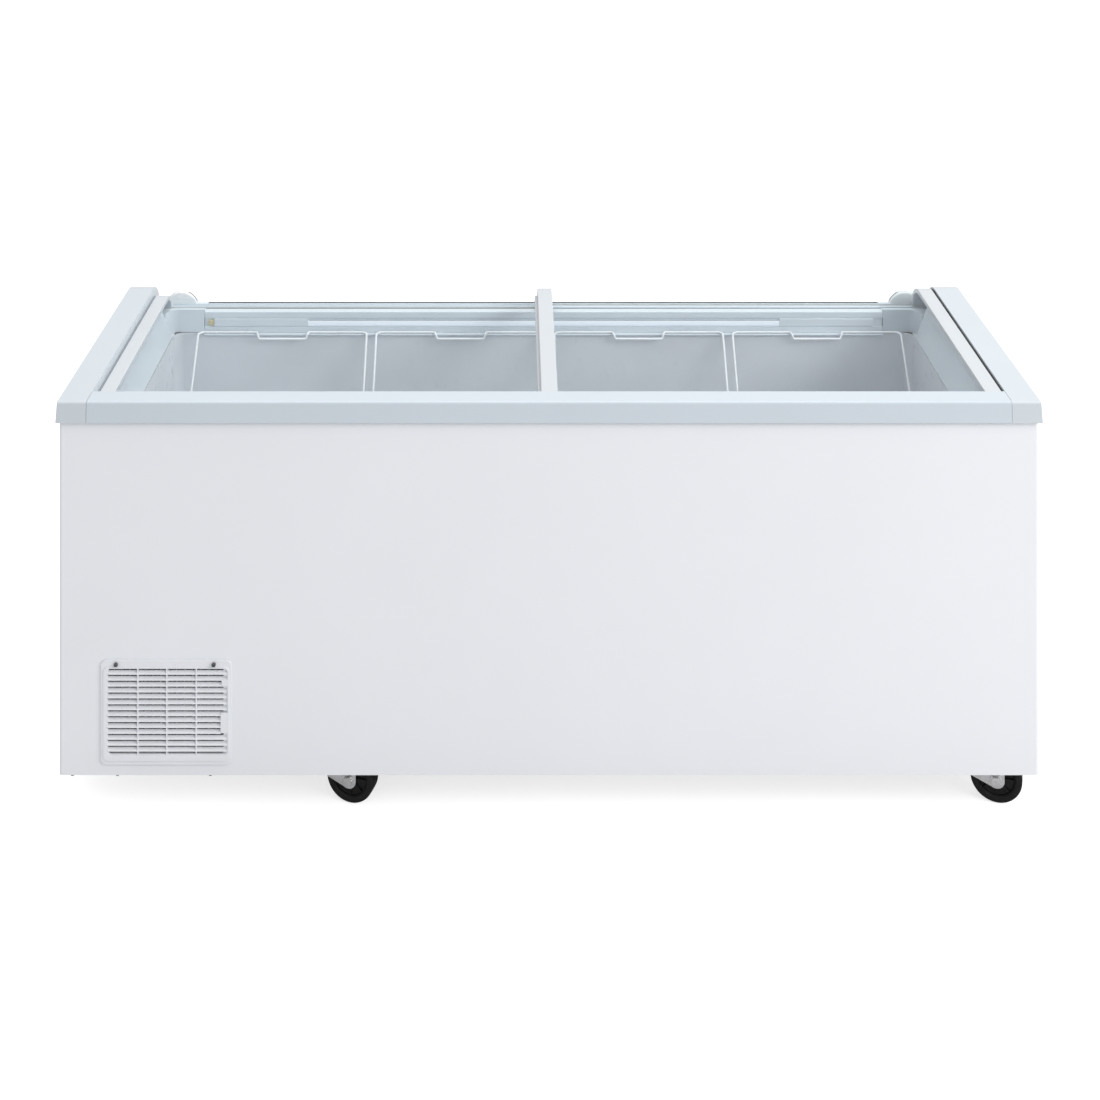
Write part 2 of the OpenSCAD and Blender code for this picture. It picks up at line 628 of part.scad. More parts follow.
module rear_vent() color([0.3, 0.32, 0.34]) difference() {
  extrude_y(wrap_y + 0.1, wrap_y + 2, round_rect(-896, 102, -602, 362, 8));
  for (x = [-870, -743], i = [0:13])
    box([x, wrap_y - 1, 120 + i * 12], [x + 115, wrap_y + 3, 125 + i * 12]);
  rod_y(knob_x, wrap_y - 1, wrap_y + 3, knob_z, 8);
  rod_y(cord_x, wrap_y - 1, wrap_y + 3, knob_z, 6);
}
// body, shaft for the knob and a thin bent wire
module thermostat_body() color([0.85, 0.85, 0.82]) union() {
  box([-674, 276, 312], [-626, wrap_y - 1.2, 348]);
  rod_y(knob_x, wrap_y - 1.3, wrap_y + 6, knob_z, 3);
  path([[knob_x, 276, 320], [knob_x, 240, 340], [-620, 200, 372]], 1.2);
}
module thermostat_knob() color([0.92, 0.92, 0.92]) difference() {
  translate([knob_x, wrap_y + 2.4, knob_z]) rotate([-90, 0, 0]) union() {
    cylinder(r = 15, h = 2.6, $fn = 48);
    translate([0, 0, 2.6]) cylinder(r = 12, h = 4.6, $fn = 48);
    translate([-2, -13, 2.6]) cube([4, 26, 5.2]);
  }
  rod_y(knob_x, wrap_y, wrap_y + 6.2, knob_z, 3.05);
}
// cord from the relay out through the rear vent, then down to its plug
module power_cord() color([0.1, 0.1, 0.1]) {
  out_y = wrap_y + 5.8;
  path([[-646, 120, 170], [-620, 120, 170], [-612, 150, 150], [-620, 270, 130],
    [cord_x, 290, 150], [cord_x, 290, knob_z], [cord_x, out_y, knob_z],
    [cord_x, out_y, 62]], 3.5);
  extrude_z(34, 64, round_rect(cord_x - 14, 303, cord_x + 14, 321.5, 6, 4));
  for (x = [-7, 7]) rod_z(cord_x + x, 312, 15, 34.2, 2);
}

module drain_tube() color([0.8, 0.8, 0.8]) difference() {
  union() {
    rod_z(drain_x, drain_y, 118, 188.9, 13);
    rod_z(drain_x, drain_y, 110, 119, 15);
  }
  rod_z(drain_x, drain_y, 100, 200, 11);
}
module drain_plug() color([0.2, 0.2, 0.2]) union() {
  rod_z(drain_x, drain_y, 174, 190.3, 10.95);
  rod_z(drain_x, drain_y, 190.2, 193, 17);
}

// screw with a cross-slotted head, shank starting at place
module screw(place, turn) translate(place) rotate(turn) {
  cylinder(r = 2, h = 6, $fn = 20);
  translate([0, 0, 6]) difference() {
    cylinder(r = 4, h = 2.2, $fn = 24);
    translate([-3, -0.5, 1.4]) cube([6, 1, 2]);
    translate([-0.5, -3, 1.4]) cube([1, 6, 2]);
  }
}
module screws() color([0.75, 0.76, 0.78]) {
  for (x = grille_screws_x) screw([x, -wrap_y + 0.9, grille_screw_z], [90, 0, 0]);
  for (x = [-899, -814, -639]) screw([x, -304, 87], [180, 0, 0]);
}

// ---------------------------------------------------------------- castors
// flat plates over the castors, each with a folded bracket at its side
module castor_beams() color([0.16, 0.16, 0.17])
  for (side = [-1, 1]) translate([0, side * 252, 0]) {
    for (x = [[-470, -287], [683, 906]])
      extrude_z(123.2, 124.9, [[x[0], -50], [x[1], -50], [x[1], 50], [x[0], 50]]);
    // bracket: x against the plate, outer x of its web, x of its foot's end
    for (x = [[-287, -285, -315], [683, 681, 753]])
      extrude_y(-52, 48, [[x[0], 124.9], [x[1], 124.9], [x[1], 78], [x[2], 78],
        [x[2], 80], [x[0], 80]]);
  }

module castor_plates() color(zinc) for (c = castors) translate([c[0], c[1], 0]) {
  extrude_z(120, 123, round_rect(-45, -36, 45, 36, 6, 3));
  // cup over the swivel
  translate([0, 0, 115]) difference() {
    cylinder(r = 27, h = 5.5, $fn = 40);
    translate([0, 0, -1]) cylinder(r = 22, h = 4, $fn = 40);
  }
  // swivel pin and its head
  translate([0, 0, 103]) cylinder(r = axle_r, h = 18, $fn = 32);
  translate([0, 0, 101.5]) cylinder(r = 8, h = 3.4, $fn = 32);
  for (x = [-35, 35], y = [-26, 26]) translate([x, y, 116]) {
    cylinder(r = 6, h = 4.1, $fn = 6);
    translate([0, 0, -3]) cylinder(r = 3, h = 4, $fn = 20);
  }
}

module at_castor(i) {
  translate([castors[i][0], castors[i][1], 0]) rotate([0, 0, castors[i][2]]) children();
}

module fork(i) color(zinc) at_castor(i) {
  difference() {
    union() {
      extrude_z(105.1, 107.6, round_rect(-26, -22, 39, 22, 5, 3));
      for (s = [-1, 1]) extrude_y(s * 20.75 - 1.25, s * 20.75 + 1.25, concat(
        [[-26, 107.5], [-26, 98]], arc(trail, axle_z, 14, 205, 360, 8), [[39, 107.5]]));
      translate([0, 0, 107.5]) cylinder(r = 21, h = 6.5, $fn = 40);
    }
    translate([0, 0, 100]) cylinder(r = axle_r + 0.05, h = 20, $fn = 32);
    rod_y(trail, -30, 30, axle_z, axle_r + 0.05);
  }
  // axle bolt with its head and nut, a separate solid
  rod_y(trail, -25, 27, axle_z, axle_r);
  translate([trail, -22.05, axle_z]) rotate([90, 0, 0]) cylinder(r = 7.5, h = 5.5, $fn = 6);
  translate([trail, 28.05, axle_z]) rotate([90, 0, 0]) cylinder(r = 7.5, h = 6, $fn = 6);
}

// outline as (radius, distance along the axle)
module wheel(i) color([0.06, 0.06, 0.06]) at_castor(i) translate([trail, 0, axle_z])
  rotate([90, 0, 0]) rotate_extrude($fn = 64) polygon(concat(
    [[axle_r + 0.05, -19], [11, -19], [12, -13], [33, -11], [36, -wheel_w / 2]],
    arc(wheel_r - 6, -wheel_w / 2 + 6, 6, -90, -10, 4), [[wheel_r, 0]],
    arc(wheel_r - 6, wheel_w / 2 - 6, 6, 10, 90, 4),
    [[36, wheel_w / 2], [33, 11], [12, 13], [11, 19], [axle_r + 0.05, 19]]));

module castor_fork_fl() { fork(0); }
module castor_fork_fr() { fork(1); }
module castor_fork_rl() { fork(2); }
module castor_fork_rr() { fork(3); }
module castor_wheel_fl() { wheel(0); }
module castor_wheel_fr() { wheel(1); }
module castor_wheel_rl() { wheel(2); }
module castor_wheel_rr() { wheel(3); }

// ---------------------------------------------------------------- nodes
function on(name) = node == "all" || node == name;
if (on("outer_shell")) outer_shell();
if (on("base_panel")) base_panel();
if (on("foam_insulation")) foam_insulation();
if (on("inner_liner")) inner_liner();
if (on("evaporator_tube")) evaporator_tube();
if (on("compartment_panel")) compartment_panel();
if (on("front_rim")) front_rim();
if (on("front_breaker")) front_breaker();
if (on("end_cap_left")) end_cap_left();
if (on("end_cap_right")) end_cap_right();
if (on("rear_rail")) rear_rail();
if (on("corner_block_left")) corner_block_left();
if (on("corner_block_right")) corner_block_right();
if (on("corner_hoods")) corner_hoods();
if (on("side_trim_left")) side_trim_left();
if (on("side_trim_right")) side_trim_right();
if (on("lid_seals")) lid_seals();
if (on("lamp_diffuser")) lamp_diffuser();
if (on("lamp_board")) lamp_board();
if (on("lamp_end_covers")) lamp_end_covers();
if (on("lamp_connector")) lamp_connector();
if (on("upper_lid_glass")) upper_lid_glass();
if (on("upper_lid_strips")) upper_lid_strips();
if (on("upper_lid_runners")) upper_lid_runners();
if (on("lower_lid_glass")) lower_lid_glass();
if (on("lower_lid_strips")) lower_lid_strips();
if (on("lower_lid_runners")) lower_lid_runners();
if (on("basket_1")) basket_1();
if (on("basket_2")) basket_2();
if (on("basket_3")) basket_3();
if (on("basket_4")) basket_4();
if (on("compressor_tray")) compressor_tray();
if (on("compressor")) compressor();
if (on("compressor_grommets")) compressor_grommets();
if (on("condenser_fins")) condenser_fins();
if (on("condenser_tube")) condenser_tube();
if (on("fan_shroud")) fan_shroud();
if (on("fan_motor")) fan_motor();
if (on("fan_blade")) fan_blade();
if (on("start_relay")) start_relay();
if (on("filter_drier")) filter_drier();
if (on("refrigerant_pipes")) refrigerant_pipes();
if (on("front_grille")) front_grille();
if (on("rear_vent")) rear_vent();
if (on("thermostat_body")) thermostat_body();
if (on("thermostat_knob")) thermostat_knob();
if (on("power_cord")) power_cord();
if (on("drain_tube")) drain_tube();
if (on("drain_plug")) drain_plug();
if (on("screws")) screws();
if (on("castor_beams")) castor_beams();
if (on("castor_plates")) castor_plates();
if (on("castor_fork_fl")) castor_fork_fl();
if (on("castor_fork_fr")) castor_fork_fr();
if (on("castor_fork_rl")) castor_fork_rl();
if (on("castor_fork_rr")) castor_fork_rr();
if (on("castor_wheel_fl")) castor_wheel_fl();
if (on("castor_wheel_fr")) castor_wheel_fr();
if (on("castor_wheel_rl")) castor_wheel_rl();
if (on("castor_wheel_rr")) castor_wheel_rr();
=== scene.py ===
import json
import math

import bpy
import bmesh
from mathutils import Vector, Matrix


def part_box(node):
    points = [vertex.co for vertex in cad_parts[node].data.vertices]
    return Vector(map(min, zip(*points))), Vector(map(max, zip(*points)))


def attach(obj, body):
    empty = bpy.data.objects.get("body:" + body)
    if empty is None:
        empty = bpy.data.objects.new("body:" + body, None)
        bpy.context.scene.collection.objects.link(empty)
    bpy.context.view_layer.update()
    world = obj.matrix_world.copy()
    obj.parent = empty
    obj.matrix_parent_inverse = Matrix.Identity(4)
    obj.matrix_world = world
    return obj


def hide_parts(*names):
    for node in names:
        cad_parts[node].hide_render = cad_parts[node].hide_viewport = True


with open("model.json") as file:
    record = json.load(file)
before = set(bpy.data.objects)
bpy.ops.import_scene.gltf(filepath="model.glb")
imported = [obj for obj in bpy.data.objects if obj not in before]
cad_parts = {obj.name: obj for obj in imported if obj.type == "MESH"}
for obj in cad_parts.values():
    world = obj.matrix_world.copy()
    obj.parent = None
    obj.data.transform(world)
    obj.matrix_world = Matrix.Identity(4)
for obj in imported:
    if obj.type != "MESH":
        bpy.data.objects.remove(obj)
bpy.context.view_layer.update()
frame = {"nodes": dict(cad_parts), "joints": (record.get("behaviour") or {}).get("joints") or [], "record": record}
NODES = frame["nodes"]
M = 0.001


# ------------------------------------------------------------------ materials
def new_mat(name):
    m = bpy.data.materials.new(name)
    m.use_nodes = True
    nt = m.node_tree
    for n in list(nt.nodes):
        nt.nodes.remove(n)
    out = nt.nodes.new("ShaderNodeOutputMaterial")
    bsdf = nt.nodes.new("ShaderNodeBsdfPrincipled")
    nt.links.new(bsdf.outputs[0], out.inputs[0])
    return m, nt, bsdf, out


def node(nt, kind, **kw):
    n = nt.nodes.new(kind)
    for k, v in kw.items():
        if k in n.inputs.keys():
            n.inputs[k].default_value = v
        else:
            setattr(n, k, v)
    return n


def coords(nt, scale=(1, 1, 1)):
    tc = nt.nodes.new("ShaderNodeTexCoord")
    mp = nt.nodes.new("ShaderNodeMapping")
    mp.inputs["Scale"].default_value = scale
    nt.links.new(tc.outputs["Object"], mp.inputs["Vector"])
    return mp.outputs["Vector"]


def surface(name, base, rough=0.4, metal=0.0, coat=0.0, coat_rough=0.1, var=0.03, var_scale=5.0,
            rough_var=0.08, rough_scale=60.0, bump=0.12, bump_scale=450.0, dist=0.0003,
            stretch=(1, 1, 1), wear=None, wear_amount=0.0, spec=0.5, cells=False, tint=None, sheen=0.0, glow=None):
    """A procedural finish: slow colour drift, fine grain, uneven gloss, small bumps and worn edges."""
    m, nt, b, out = new_mat(name)
    v = coords(nt, stretch)
    slow = node(nt, "ShaderNodeTexNoise", Scale=var_scale, Detail=3.0, Roughness=0.55)
    nt.links.new(v, slow.inputs["Vector"])
    fine = node(nt, "ShaderNodeTexNoise", Scale=rough_scale, Detail=4.0, Roughness=0.6)
    nt.links.new(v, fine.inputs["Vector"])
    c = Vector(base[:3])
    lo = [max(0.0, x * (1 - var)) for x in c]
    hi = [min(1.0, x * (1 + var)) for x in c]
    if tint:
        lo = [lo[i] * tint[i] for i in range(3)]
    ramp = nt.nodes.new("ShaderNodeValToRGB")
    ramp.color_ramp.elements[0].position = 0.35
    ramp.color_ramp.elements[1].position = 0.65
    ramp.color_ramp.elements[0].color = (*lo, 1)
    ramp.color_ramp.elements[1].color = (*hi, 1)
    nt.links.new(slow.outputs["Fac"], ramp.inputs["Fac"])
    col = ramp.outputs["Color"]
    if cells:
        vor = node(nt, "ShaderNodeTexVoronoi", Scale=110.0)
        nt.links.new(v, vor.inputs["Vector"])
        mixc = nt.nodes.new("ShaderNodeMix")
        mixc.data_type = "RGBA"
        mixc.blend_type = "MULTIPLY"
        mixc.inputs["Factor"].default_value = 0.22
        nt.links.new(col, mixc.inputs[6])
        nt.links.new(vor.outputs["Color"], mixc.inputs[7])
        hsv = node(nt, "ShaderNodeHueSaturation", Saturation=0.12, Value=1.12)
        nt.links.new(mixc.outputs[2], hsv.inputs["Color"])
        col = hsv.outputs["Color"]
    if wear is not None:
        geo = nt.nodes.new("ShaderNodeNewGeometry")
        wr = nt.nodes.new("ShaderNodeValToRGB")
        wr.color_ramp.elements[0].position = 0.52
        wr.color_ramp.elements[1].position = 0.60
        wr.color_ramp.elements[0].color = (0, 0, 0, 1)
        wr.color_ramp.elements[1].color = (wear_amount,) * 3 + (1,)
        nt.links.new(geo.outputs["Pointiness"], wr.inputs["Fac"])
        mul = node(nt, "ShaderNodeMath", operation="MULTIPLY")
        nt.links.new(wr.outputs["Color"], mul.inputs[0])
        nt.links.new(fine.outputs["Fac"], mul.inputs[1])
        mx = nt.nodes.new("ShaderNodeMix")
        mx.data_type = "RGBA"
        nt.links.new(mul.outputs[0], mx.inputs["Factor"])
        nt.links.new(col, mx.inputs[6])
        mx.inputs[7].default_value = (*wear, 1)
        col = mx.outputs[2]
    nt.links.new(col, b.inputs["Base Color"])
    rr = node(nt, "ShaderNodeMapRange")
    rr.inputs["From Min"].default_value = 0.3
    rr.inputs["From Max"].default_value = 0.7
    rr.inputs["To Min"].default_value = max(0.02, rough - rough_var)
    rr.inputs["To Max"].default_value = min(1.0, rough + rough_var)
    nt.links.new(fine.outputs["Fac"], rr.inputs["Value"])
    nt.links.new(rr.outputs["Result"], b.inputs["Roughness"])
    b.inputs["Metallic"].default_value = metal
    b.inputs["Specular IOR Level"].default_value = spec
    if coat:
        b.inputs["Coat Weight"].default_value = coat
        b.inputs["Coat Roughness"].default_value = coat_rough
    if sheen:
        b.inputs["Sheen Weight"].default_value = sheen
    if glow:
        b.inputs["Emission Color"].default_value = (*glow, 1)
        b.inputs["Emission Strength"].default_value = 1.0
    if bump:
        bn = node(nt, "ShaderNodeTexNoise", Scale=bump_scale, Detail=2.0, Roughness=0.5)
        nt.links.new(v, bn.inputs["Vector"])
        bp = node(nt, "ShaderNodeBump", Strength=bump, Distance=dist)
        nt.links.new(bn.outputs["Fac"], bp.inputs["Height"])
        nt.links.new(bp.outputs["Normal"], b.inputs["Normal"])
    return m


def glass_material():
    """Clear tempered glass: lets light straight through, mirrors at a glance, with a faint green edge and dust."""
    m, nt, b, out = new_mat("clear_lid_glass")
    v = coords(nt)
    nt.nodes.remove(b)
    tr = node(nt, "ShaderNodeBsdfTransparent")
    gl = node(nt, "ShaderNodeBsdfGlossy", Roughness=0.015)
    gl.inputs["Color"].default_value = (1, 1, 1, 1)
    haze = node(nt, "ShaderNodeBsdfDiffuse")
    haze.inputs["Color"].default_value = (0.9, 0.95, 0.97, 1)
    lw = node(nt, "ShaderNodeLayerWeight", Blend=0.5)
    nz = node(nt, "ShaderNodeTexNoise", Scale=14.0, Detail=5.0, Roughness=0.6)
    nt.links.new(v, nz.inputs["Vector"])
    tint = nt.nodes.new("ShaderNodeValToRGB")
    tint.color_ramp.elements[0].position = 0.3
    tint.color_ramp.elements[1].position = 0.7
    tint.color_ramp.elements[0].color = (0.978, 0.99, 0.99, 1)
    tint.color_ramp.elements[1].color = (0.988, 0.998, 0.998, 1)
    nt.links.new(nz.outputs["Fac"], tint.inputs["Fac"])
    nt.links.new(tint.outputs["Color"], tr.inputs["Color"])
    m1 = nt.nodes.new("ShaderNodeMixShader")
    pw = node(nt, "ShaderNodeMath", operation="POWER")
    pw.inputs[1].default_value = 5.0
    nt.links.new(lw.outputs["Facing"], pw.inputs[0])
    k = node(nt, "ShaderNodeMath", operation="MULTIPLY_ADD")
    k.inputs[1].default_value = 0.38
    k.inputs[2].default_value = 0.025
    nt.links.new(pw.outputs[0], k.inputs[0])
    gi = nt.nodes.new("ShaderNodeNewGeometry")
    fr = node(nt, "ShaderNodeMath", operation="SUBTRACT")
    fr.inputs[0].default_value = 1.0
    nt.links.new(gi.outputs["Backfacing"], fr.inputs[1])
    kk = node(nt, "ShaderNodeMath", operation="MULTIPLY")
    nt.links.new(k.outputs[0], kk.inputs[0])
    nt.links.new(fr.outputs[0], kk.inputs[1])
    nt.links.new(kk.outputs[0], m1.inputs[0])
    nt.links.new(tr.outputs[0], m1.inputs[1])
    nt.links.new(gl.outputs[0], m1.inputs[2])
    m2 = nt.nodes.new("ShaderNodeMixShader")
    hz = node(nt, "ShaderNodeMapRange")
    hz.inputs["To Min"].default_value = 0.0
    hz.inputs["To Max"].default_value = 0.02
    nt.links.new(nz.outputs["Fac"], hz.inputs["Value"])
    nt.links.new(hz.outputs["Result"], m2.inputs[0])
    nt.links.new(m1.outputs[0], m2.inputs[1])
    nt.links.new(haze.outputs[0], m2.inputs[2])
    nt.links.new(m2.outputs[0], out.inputs[0])
    return m


MAT = {
    "white_steel": surface("white_powder_steel", (0.825, 0.845, 0.885), rough=0.38, rough_var=0.03, rough_scale=350, coat=0.2, coat_rough=0.2,
                           var=0.008, var_scale=2.2, bump=0.08, bump_scale=900, dist=0.00015),
    "liner": surface("coated_liner_sheet", (0.66, 0.69, 0.735), rough=0.34, rough_var=0.10, coat=0.2,
                     var=0.03, var_scale=6, bump=0.35, bump_scale=150, dist=0.0006),
    "frame_grey": surface("blue_grey_moulding", (0.58, 0.645, 0.705), rough=0.34, rough_var=0.03, rough_scale=420, coat=0.25, coat_rough=0.22,
                          var=0.010, var_scale=3, bump=0.06, bump_scale=1400, dist=0.0001),
    "cap_grey": surface("light_grey_moulding", (0.59, 0.645, 0.69), rough=0.34, rough_var=0.03, rough_scale=420, coat=0.25, coat_rough=0.22,
                        var=0.010, var_scale=3, bump=0.06, bump_scale=1400, dist=0.0001),
    "trim_grey": surface("inner_trim_moulding", (0.62, 0.68, 0.74), rough=0.22, rough_var=0.05, coat=0.5, coat_rough=0.10,
                         var=0.03, var_scale=9, bump=0.08, bump_scale=700, dist=0.00015),
    "white_plastic": surface("white_moulding", (0.80, 0.82, 0.86), rough=0.32, rough_var=0.06, coat=0.3, coat_rough=0.2,
                             var=0.02, var_scale=9, bump=0.10, bump_scale=1100, dist=0.00012,
                             wear=(0.9, 0.9, 0.92), wear_amount=0.25),
    "lid_frame": surface("white_lid_extrusion", (0.60, 0.635, 0.67), rough=0.30, rough_var=0.03, rough_scale=400, coat=0.3, coat_rough=0.18,
                         var=0.010, var_scale=5, bump=0.05, bump_scale=1300, dist=0.0001),
    "hood_white": surface("white_hood_moulding", (0.84, 0.86, 0.89), rough=0.28, rough_var=0.05, coat=0.5, coat_rough=0.1,
                          var=0.015, var_scale=12, bump=0.06, bump_scale=900, dist=0.0001),
    "seal_grey": surface("soft_grey_seal", (0.30, 0.33, 0.36), rough=0.6, rough_var=0.08, var=0.06, var_scale=30,
                         bump=0.2, bump_scale=1400, dist=0.0002),
    "rubber": surface("soft_black_seal", (0.018, 0.019, 0.021), rough=0.62, rough_var=0.12, var=0.2, var_scale=30,
                      bump=0.25, bump_scale=1400, dist=0.0002),
    "tread": surface("black_castor_tread", (0.005, 0.005, 0.0055), rough=0.55, rough_var=0.12, var=0.3, var_scale=22, spec=0.3,
                     bump=0.35, bump_scale=420, dist=0.0004),
    "hub": surface("black_castor_hub", (0.006, 0.006, 0.007), rough=0.5, rough_var=0.08, spec=0.3, var=0.2, var_scale=30,
                   bump=0.15, bump_scale=900, dist=0.0002),
    "zinc": surface("bright_zinc_plate", (0.62, 0.64, 0.66), rough=0.24, rough_var=0.10, metal=1.0, var=0.06, var_scale=40,
                    bump=0.12, bump_scale=700, dist=0.0002, cells=True, wear=(0.85, 0.86, 0.88), wear_amount=0.5),
    "galvanised": surface("spangled_galvanised_sheet", (0.52, 0.54, 0.56), rough=0.38, rough_var=0.12, metal=1.0, var=0.08,
                          var_scale=25, bump=0.10, bump_scale=400, dist=0.0002, cells=True),
    "black_metal": surface("black_enamel", (0.018, 0.018, 0.02), rough=0.30, rough_var=0.10, coat=0.3, var=0.25, var_scale=15,
                           bump=0.18, bump_scale=500, dist=0.0003, wear=(0.25, 0.25, 0.26), wear_amount=0.4),
    "dark_plastic": surface("dark_vent_moulding", (0.05, 0.052, 0.056), rough=0.5, rough_var=0.1, var=0.15, var_scale=20,
                            bump=0.25, bump_scale=900, dist=0.0002),
    "foam": surface("rigid_foam", (0.80, 0.68, 0.42), rough=0.9, rough_var=0.08, var=0.12, var_scale=30, bump=0.7,
                    bump_scale=300, dist=0.001),
    "tube_metal": surface("drawn_aluminium_tube", (0.66, 0.66, 0.69), rough=0.35, metal=1.0, var=0.05, var_scale=20,
                          bump=0.2, bump_scale=500, dist=0.0002, stretch=(1, 1, 1)),
    "fins": surface("thin_aluminium_fin", (0.70, 0.72, 0.73), rough=0.33, metal=1.0, var=0.05, var_scale=40,
                    bump=0.2, bump_scale=300, dist=0.0003),
    "copper": surface("drawn_copper", (0.62, 0.30, 0.17), rough=0.30, rough_var=0.12, metal=1.0, var=0.14, var_scale=30,
                      bump=0.12, bump_scale=500, dist=0.0002, tint=(0.8, 0.72, 0.7)),
    "lens": surface("frosted_lamp_lens", (0.70, 0.745, 0.79), rough=0.28, rough_var=0.06, coat=0.4, var=0.02, var_scale=20,
                    bump=0.15, bump_scale=60, dist=0.0003, stretch=(0.2, 1, 8), glow=(0.22, 0.25, 0.29)),
    "lamp_board": surface("lamp_board_lacquer", (0.72, 0.73, 0.62), rough=0.4, var=0.1, var_scale=80, bump=0.2, bump_scale=600),
    "connector": surface("ivory_connector", (0.66, 0.57, 0.33), rough=0.4, var=0.12, var_scale=60, bump=0.2, bump_scale=900,
                         dist=0.0002),
    "wire": surface("white_coated_wire", (0.80, 0.83, 0.87), rough=0.26, rough_var=0.06, coat=0.4, coat_rough=0.12, var=0.02,
                    var_scale=25, bump=0.12, bump_scale=500, dist=0.0002, wear=(0.88, 0.89, 0.9), wear_amount=0.3),
    "cable": surface("cable_jacket", (0.02, 0.02, 0.021), rough=0.5, rough_var=0.08, var=0.2, var_scale=40, bump=0.3,
                     bump_scale=700, dist=0.0002),
    "glass": glass_material(),
    # paler copy of the blue-grey moulding: painted light on the rear rail, the left corner block and the lamp end
    # covers, lighter than their own grey
    "grey_with_painted_light": surface("grey_moulding_with_painted_light", (0.68, 0.745, 0.81), rough=0.30, rough_var=0.03, rough_scale=420, coat=0.3, coat_rough=0.16,
                         var=0.010, var_scale=3, bump=0.06, bump_scale=1400, dist=0.0001),
    # dark screw heads, darkened further as painted shade for the recesses they sit in
    "screw_dark": surface("dark_screw_with_painted_recess_shade", (0.16, 0.16, 0.17), rough=0.35, rough_var=0.12, metal=0.9, var=0.15, var_scale=90,
                          bump=0.15, bump_scale=1200, dist=0.0002),
}

NODE_MAT = {
    "outer_shell": "white_steel", "base_panel": "galvanised", "foam_insulation": "foam", "inner_liner": "liner",
    "evaporator_tube": "tube_metal", "compartment_panel": "galvanised", "front_rim": "frame_grey",
    "front_breaker": "trim_grey", "end_cap_left": "cap_grey", "end_cap_right": "cap_grey", "rear_rail": "frame_grey",
    "corner_block_left": "frame_grey", "corner_block_right": "frame_grey", "corner_hoods": "hood_white",
    "side_trim_left": "trim_grey", "side_trim_right": "trim_grey", "lid_seals": "rubber", "lamp_diffuser": "lens",
    "lamp_board": "lamp_board", "lamp_end_covers": "frame_grey", "lamp_connector": "connector",
    "upper_lid_glass": "glass", "lower_lid_glass": "glass", "upper_lid_strips": "lid_frame",
    "lower_lid_strips": "lid_frame", "upper_lid_runners": "lid_frame", "lower_lid_runners": "lid_frame",
    "compressor_tray": "galvanised", "compressor": "black_metal", "compressor_grommets": "rubber",
    "condenser_fins": "fins", "condenser_tube": "black_metal", "fan_shroud": "dark_plastic",
    "fan_motor": "dark_plastic", "fan_blade": "dark_plastic", "start_relay": "dark_plastic",
    "filter_drier": "copper", "refrigerant_pipes": "copper", "front_grille": "white_plastic",
    "rear_vent": "dark_plastic", "thermostat_body": "white_plastic", "thermostat_knob": "white_plastic",
    "power_cord": "cable", "drain_tube": "white_plastic", "drain_plug": "rubber", "screws": "screw_dark",
    "castor_beams": "black_metal", "castor_plates": "zinc",
}
for _n, _o in NODES.items():
    key = NODE_MAT.get(_n)
    if key is None:
        key = "wire" if _n.startswith("basket") else "tread" if "wheel" in _n else "zinc"
    if not _o.material_slots:
        continue
    for _s in _o.material_slots:
        _s.material = MAT[key]


# ------------------------------------------------------------------ mesh helpers
def build(name, verts, faces, mat, body="cabinet", smooth=True, angle=32, bevel=0.0, segments=2, weld=False):
    me = bpy.data.meshes.new(name)
    me.from_pydata([tuple(v) for v in verts], [], faces)
    o = bpy.data.objects.new(name, me)
    bpy.context.scene.collection.objects.link(o)
    bm = bmesh.new()
    bm.from_mesh(me)
    if weld:
        bmesh.ops.remove_doubles(bm, verts=bm.verts, dist=1e-6)
    bmesh.ops.recalc_face_normals(bm, faces=bm.faces)
    bm.to_mesh(me)
    bm.free()
    me.materials.append(MAT[mat])
    if bevel:
        apply_bevel(o, bevel, segments)
    shade(o, smooth, angle)
    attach(o, body)
    return o


def shade(o, smooth=True, angle=32, weighted=True):
    for p in o.data.polygons:
        p.use_smooth = smooth
    if smooth:
        o.data.set_sharp_from_angle(angle=math.radians(angle))
        if weighted and not any(m.type == "WEIGHTED_NORMAL" for m in o.modifiers):
            md = o.modifiers.new("even_shading", "WEIGHTED_NORMAL")
            md.keep_sharp = True


def apply_mods(o):
    bpy.context.view_layer.update()
    dg = bpy.context.evaluated_depsgraph_get()
    me = bpy.data.meshes.new_from_object(o.evaluated_get(dg))
    o.modifiers.clear()
    old = o.data
    o.data = me
    bpy.data.meshes.remove(old)


def apply_bevel(o, width, segments=2, limit=28):
    md = o.modifiers.new("bevel", "BEVEL")
    md.width = width
    md.segments = segments
    md.limit_method = "ANGLE"
    md.angle_limit = math.radians(limit)
    md.use_clamp_overlap = True
    apply_mods(o)


def join(name, objs, body="cabinet"):
    me = bpy.data.meshes.new(name)
    bm = bmesh.new()
    mats = []
    for o in objs:
        idx = {}
        for i, mm in enumerate(o.data.materials):
            if mm not in mats:
                mats.append(mm)
            idx[i] = mats.index(mm)
        n0 = len(bm.faces)
        bm.from_mesh(o.data)
        bm.faces.ensure_lookup_table()
        for f in list(bm.faces)[n0:]:
            f.material_index = idx.get(f.material_index, 0)
    bm.to_mesh(me)
    bm.free()
    for mm in mats:
        me.materials.append(mm)
    res = bpy.data.objects.new(name, me)
    bpy.context.scene.collection.objects.link(res)
    md = res.modifiers.new("even_shading", "WEIGHTED_NORMAL")
    md.keep_sharp = True
    for o in objs:
        d = o.data
        bpy.data.objects.remove(o)
        bpy.data.meshes.remove(d)
    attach(res, body)
    return res


def arc(cx, cy, r, a0, a1, n):
    return [(cx + r * math.cos(math.radians(a0 + (a1 - a0) * i / n)),
             cy + r * math.sin(math.radians(a0 + (a1 - a0) * i / n))) for i in range(n + 1)]


